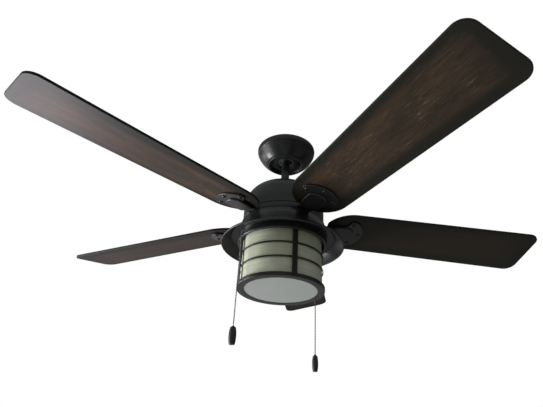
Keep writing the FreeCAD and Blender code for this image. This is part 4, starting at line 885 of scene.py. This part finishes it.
def makeCollar():
    s = collarShape
    collar, low, under, wall = s["radius"], s["low"], s["top"], s["wall"]
    seat, hub = s["seat"], s["hub"]
    shoulderStart, shoulderEnd = (collar, low + 9.6), (collar - 2, low + 12.8)
    corners = [
        (hub, under), (hub, under - wall), (collar - 3.5, under - wall),
        (collar - 3.5, low + 12.2), (collar - wall, low + 10.2), (collar - wall, low + wall),
        (seat, low + wall, 0.4), (seat, low, 0.5), (collar, low, 2.2), shoulderStart,
        *arcTo(shoulderStart, (collar - 0.5, low + 11.5), shoulderEnd, 6),
        (collar - 2, under),
    ]
    makeTurned("cageCollar", corners, bladeLevel, "suspension", "cage_collar", 168)


makeHood()
makeCollar()
print("hood and collar made")


# glass and its cage

shadeShape = {"glass": 96, "wall": 3, "top": -50, "bottom": -173, "ledge": -171.5}
cageShape = {"inside": 98, "outside": 100.2, "seat": 102.45, "hoopHeight": 4.2,
             "hoops": (-90, -125), "barWidth": 12.6, "barWall": 2, "bars": 4, "barTop": -51,
             "azimuth": 12.6, "ringTop": -164, "opening": 86.3}


def makeShade():
    s = shadeShape
    inner = s["glass"] - s["wall"]
    makeTurned("glassDrum", [(inner, s["ledge"], 0.8), (s["glass"], s["ledge"], 0.8),
                             (s["glass"], s["top"], 0.8), (inner, s["top"], 0.8)],
               bladeLevel, "suspension", "glass_shade", 168)
    makeTurned("bottomGlass", [(0, s["ledge"]), (inner - 0.3, s["ledge"], 0.7),
                               (inner - 0.3, s["ledge"] + 3, 0.7), (0, s["ledge"] + 3)],
               bladeLevel, "suspension", "bottom_diffuser", 144, False)


def makeBottomRing():
    s = cageShape
    bottom, seat = shadeShape["bottom"], s["seat"]
    outer = seat + 1.2
    corners = [
        (seat, s["ringTop"], 0.3), (outer, s["ringTop"], 0.5),
        (outer, s["ringTop"] - 2.0, 0.15), (outer - 0.5, s["ringTop"] - 2.4),
        (outer, s["ringTop"] - 2.8, 0.15), (outer, bottom + 2.9, 0.15),
        (outer - 0.5, bottom + 2.5), (outer, bottom + 2.1, 0.15),
        (outer, bottom, 1.3), (s["opening"] + 4, bottom, 0.4),
        (s["opening"] + 3.4, bottom + 0.5, 0.2), (s["opening"], bottom + 0.5, 0.4),
        (s["opening"], shadeShape["ledge"], 0.4), (seat, shadeShape["ledge"]),
    ]
    makeTurned("bottomRing", corners, bladeLevel, "suspension", "cage_bottom_ring", 168)


def makeHoops():
    s = cageShape
    bm = startPiece()
    half = s["hoopHeight"] / 2
    for level in s["hoops"]:
        corners = [(s["inside"], level - half, 0.4), (s["outside"], level - half, 0.9),
                   (s["outside"], level + half, 0.9), (s["inside"], level + half, 0.4)]
        addTo(bm, turned(corners, bladeLevel, 168))
    finishPiece("cageHoops", bm, "suspension", "cage_hoops")


def makeBars():
    s = cageShape
    bm = startPiece()
    inner, outer = s["outside"], s["outside"] + s["barWall"]
    low, high = shadeShape["ledge"], s["barTop"]
    reach = math.asin(s["barWidth"] / 2 / outer)
    for turn in range(s["bars"]):
        bar = bmesh.new()
        drawOutline(bar, [(inner, low), (outer, low), (outer, high), (inner, high)],
                    uprightPlace)
        bmesh.ops.contextual_create(bar, geom=bar.edges[:])
        bmesh.ops.rotate(bar, cent=(0, 0, 0), matrix=Matrix.Rotation(-reach, 3, "Z"),
                         verts=bar.verts[:])
        bmesh.ops.spin(bar, geom=bar.verts[:] + bar.edges[:] + bar.faces[:], cent=(0, 0, 0),
                       axis=(0, 0, 1), dvec=(0, 0, 0), angle=2 * reach, steps=8,
                       use_merge=False, use_duplicate=False)
        bmesh.ops.remove_doubles(bar, verts=bar.verts[:], dist=mergeDistance)
        softenRims(bar, 0.55, 3)
        azimuth = math.radians(s["azimuth"] + 360 * turn / s["bars"])
        addTo(bm, bar, Matrix.Translation((0, 0, bladeLevel)) @ Matrix.Rotation(azimuth, 4, "Z"))
    finishPiece("cageBars", bm, "suspension", "cage_bars")


makeShade()
makeBottomRing()
makeHoops()
makeBars()
print("glass and cage made")


# pull chains with their pendants and eyelets

pullShape = {"circle": 112, "radius": 1.6, "pitch": 3.7, "wire": 0.7, "top": -31.2,
             "exit": -42.5}
pulls = {"fan": {"azimuth": 205.8, "low": -273.3, "tall": 40, "girth": 1.15},
         "light": {"azimuth": 35.2, "low": -296.8, "tall": 38.4, "girth": 1.0}}


def routeLine(name, points):
    # the places along one smooth NURBS curve with those control points
    curve = bpy.data.curves.new(name, "CURVE")
    curve.dimensions = "3D"
    curve.resolution_u = 24
    spline = curve.splines.new("NURBS")
    spline.points.add(len(points) - 1)
    for handle, place in zip(spline.points, points):
        handle.co = (*place, 1)
    spline.order_u = 3
    spline.use_endpoint_u = True
    holder = bpy.data.objects.new(name, curve)
    line = bpy.data.meshes.new_from_object(holder)
    places = [vert.co.copy() for vert in line.vertices]
    bpy.data.objects.remove(holder)
    bpy.data.curves.remove(curve)
    bpy.data.meshes.remove(line)
    return places


def evenlyAlong(line, pitch):
    # places one pitch apart along the line
    places, left = [], pitch / 2
    for start, end in zip(line, line[1:]):
        length = (end - start).length
        while left <= length and length > 0:
            places.append(start.lerp(end, left / length))
            left += pitch
        left -= length
    return places


def makeChain(which):
    s, pull = pullShape, pulls[which]
    top = polar(s["circle"], pull["azimuth"], s["top"])
    nearTop = polar(s["circle"], pull["azimuth"], s["top"] - 12 * s["radius"])
    bottom = polar(s["circle"], pull["azimuth"], pull["low"])
    line = routeLine(which + "Route", [top, nearTop, bottom])
    bm = bmesh.new()
    places = evenlyAlong(line, s["pitch"] * mm)
    for place in places:
        bmesh.ops.create_uvsphere(bm, u_segments=8, v_segments=6, radius=s["radius"] * mm,
                                  matrix=Matrix.Translation(place))
    for start, end in zip([line[0]] + places, places + [line[-1]]):
        across = end - start
        pose = (Matrix.Translation((start + end) / 2)
                @ across.to_track_quat("Z", "Y").to_matrix().to_4x4())
        bmesh.ops.create_cone(bm, cap_ends=True, segments=6, radius1=s["wire"] * mm,
                              radius2=s["wire"] * mm, depth=across.length, matrix=pose)
    chain = finishPiece(which + "PullChain", bm, which + "_pull", which + "_pull_chain",
                        None, 80, False)
    return chain, line


def makePendant(which):
    pull = pulls[which]
    low, foot, girth = pull["low"], pull["low"] - pull["tall"], pull["girth"]
    neck, shoulder = (2.5, low - 1.8), (6.1 * girth, low - 6.6)
    upper, lower = (6.3 * girth, low - 8.4), (6.2 * girth, foot + 3.4)
    corners = [
        (0, low), (1.7, low, 0.4), (2.3, low - 0.8, 0.4), neck,
        *arcTo(neck, (4.7 * girth, low - 3.4), shoulder, 10),
        (5.8 * girth, low - 7.2, 0.2), (5.8 * girth, low - 7.8, 0.2), upper,
        *arcTo(upper, (7.15 * girth, (upper[1] + lower[1]) / 2), lower, 18),
        (5.8 * girth, foot + 3, 0.2), (5.8 * girth, foot + 2.5, 0.2),
        (6.1 * girth, foot + 2.1, 0.3), (5.6 * girth, foot, 1.4), (0, foot),
    ]
    bm = turned(corners, 0, 40, False, 3)
    place = polar(pullShape["circle"], pull["azimuth"])
    bmesh.ops.translate(bm, vec=place, verts=bm.verts[:])
    return finishPiece(which + "PullPendant", bm, which + "_pull", which + "_pull_pendant")


eyeletShape = {"bore": 2.0, "flange": 3.7, "tube": 2.95, "tall": 3.3, "flangeTall": 1}


def makeEyelets():
    s = eyeletShape
    low = pullShape["exit"]
    step, top = low + s["flangeTall"], low + s["tall"]
    bm = startPiece()
    for pull in pulls.values():
        place = polar(pullShape["circle"], pull["azimuth"])
        corners = [(s["bore"], low, 0.3), (s["flange"], low, 0.4), (s["flange"], step, 0.2),
                   (s["tube"], step), (s["tube"], top, 0.2), (s["bore"], top, 0.2)]
        addTo(bm, turned(corners, 0, 32), Matrix.Translation(place))
    finishPiece("chainEyelets", bm, "suspension", "chain_eyelets")


makeEyelets()
for pullName, pullPlace in pulls.items():
    chainPiece, chainLine = makeChain(pullName)
    pendantPiece = makePendant(pullName)
print("pull chains made")


# floor, light and camera

floorShape = {"radius": 6, "below": 2.5}  # metres, and metres under the ceiling


def makeFloor():
    bm = bmesh.new()
    bmesh.ops.create_circle(bm, cap_ends=True, segments=64, radius=floorShape["radius"])
    bmesh.ops.translate(bm, vec=(0, 0, ceilingLevel - floorShape["below"]), verts=bm.verts[:])
    material = bpy.data.materials.new("paleFloor")
    material.use_nodes = True
    shader = material.node_tree.nodes["Principled BSDF"]
    shader.inputs["Base Color"].default_value = colour(0.6, 0.6, 0.585)
    shader.inputs["Roughness"].default_value = 0.8
    floor = makeObject("floor", bm)
    floor.data.materials.append(material)


def makeWorld():
    # the camera sees white; the fan is lit by a dim room, brighter above, below and beyond
    world = bpy.data.worlds.new("studio")
    scene.world = world
    world.use_nodes = True
    tree = world.node_tree
    tree.nodes.clear()
    facing = addNode(tree, "ShaderNodeTexCoord").outputs["Generated"]

    def towards(direction):
        return addNode(tree, "ShaderNodeVectorMath", [(0, facing), (1, direction)],
                       operation="DOT_PRODUCT").outputs["Value"]

    soft = blendOf(tree, spanOf(tree, towards((-0.25, 0.1, -0.96)), -0.1, 0.9),
                   colour(0.085, 0.089, 0.08), colour(0.26, 0.265, 0.245))
    soft = blendOf(tree, spanOf(tree, towards((-0.1, -0.5, 0.86)), 0.1, 0.9), soft,
                   colour(0.34, 0.35, 0.35))
    soft = blendOf(tree, spanOf(tree, towards((-0.34, 0.94, -0.08)), 0.78, 1.0), soft,
                   colour(0.47, 0.42, 0.47))
    seen = addNode(tree, "ShaderNodeLightPath").outputs["Is Camera Ray"]
    both = blendOf(tree, seen, soft, colour(1, 1, 1))
    background = addNode(tree, "ShaderNodeBackground", [("Color", both), ("Strength", 1.0)])
    output = addNode(tree, "ShaderNodeOutputWorld")
    tree.links.new(background.outputs["Background"], output.inputs["Surface"])


def addLamp(name, place, target, size, power, tint):
    lamp = bpy.data.lights.new(name, "AREA")
    lamp.shape = "RECTANGLE"
    lamp.size, lamp.size_y = size
    lamp.energy = power
    lamp.color = tint
    holder = bpy.data.objects.new(name, lamp)
    scene.collection.objects.link(holder)
    aim = (Vector(target) - Vector(place)).to_track_quat("-Z", "Y")
    holder.matrix_world = Matrix.Translation(place) @ aim.to_matrix().to_4x4()
    return holder


def addCamera():
    place = Vector((-0.0722, -1.0355, -0.7788))
    yaw, pitch, roll = (math.radians(angle) for angle in (87.81, 30.29, 3.29))
    forward = Vector((math.cos(pitch) * math.cos(yaw), math.cos(pitch) * math.sin(yaw),
                      math.sin(pitch)))
    level = forward.cross(Vector((0, 0, 1))).normalized()
    upright = level.cross(forward)
    right = level * math.cos(roll) + upright * math.sin(roll)
    up = upright * math.cos(roll) - level * math.sin(roll)
    data = bpy.data.cameras.new("camera")
    data.sensor_width = 36
    data.lens = 30.72
    data.clip_start = 0.01
    data.clip_end = 100
    camera = bpy.data.objects.new("camera", data)
    scene.collection.objects.link(camera)
    turn = Matrix((right, up, -forward)).transposed()
    camera.matrix_world = Matrix.Translation(place) @ turn.to_4x4()
    scene.camera = camera


makeFloor()
makeWorld()
addLamp("windowLight", (-1.68, 0.68, -1.27), (0, 0, -0.3), (0.95, 0.6), 38, (0.93, 0.97, 1.0))
addLamp("glareLight", (-1.5, 1.05, -0.6), (0, 0, -0.3), (0.7, 1.0), 6, (1.0, 0.87, 0.98))
addLamp("leftLight", (-2.0, 0.1, -0.55), (0, 0, -0.3), (1.2, 1.2), 14, (1.0, 1.0, 0.99))
addCamera()
scene.view_settings.view_transform = "Standard"
print("stage ready")
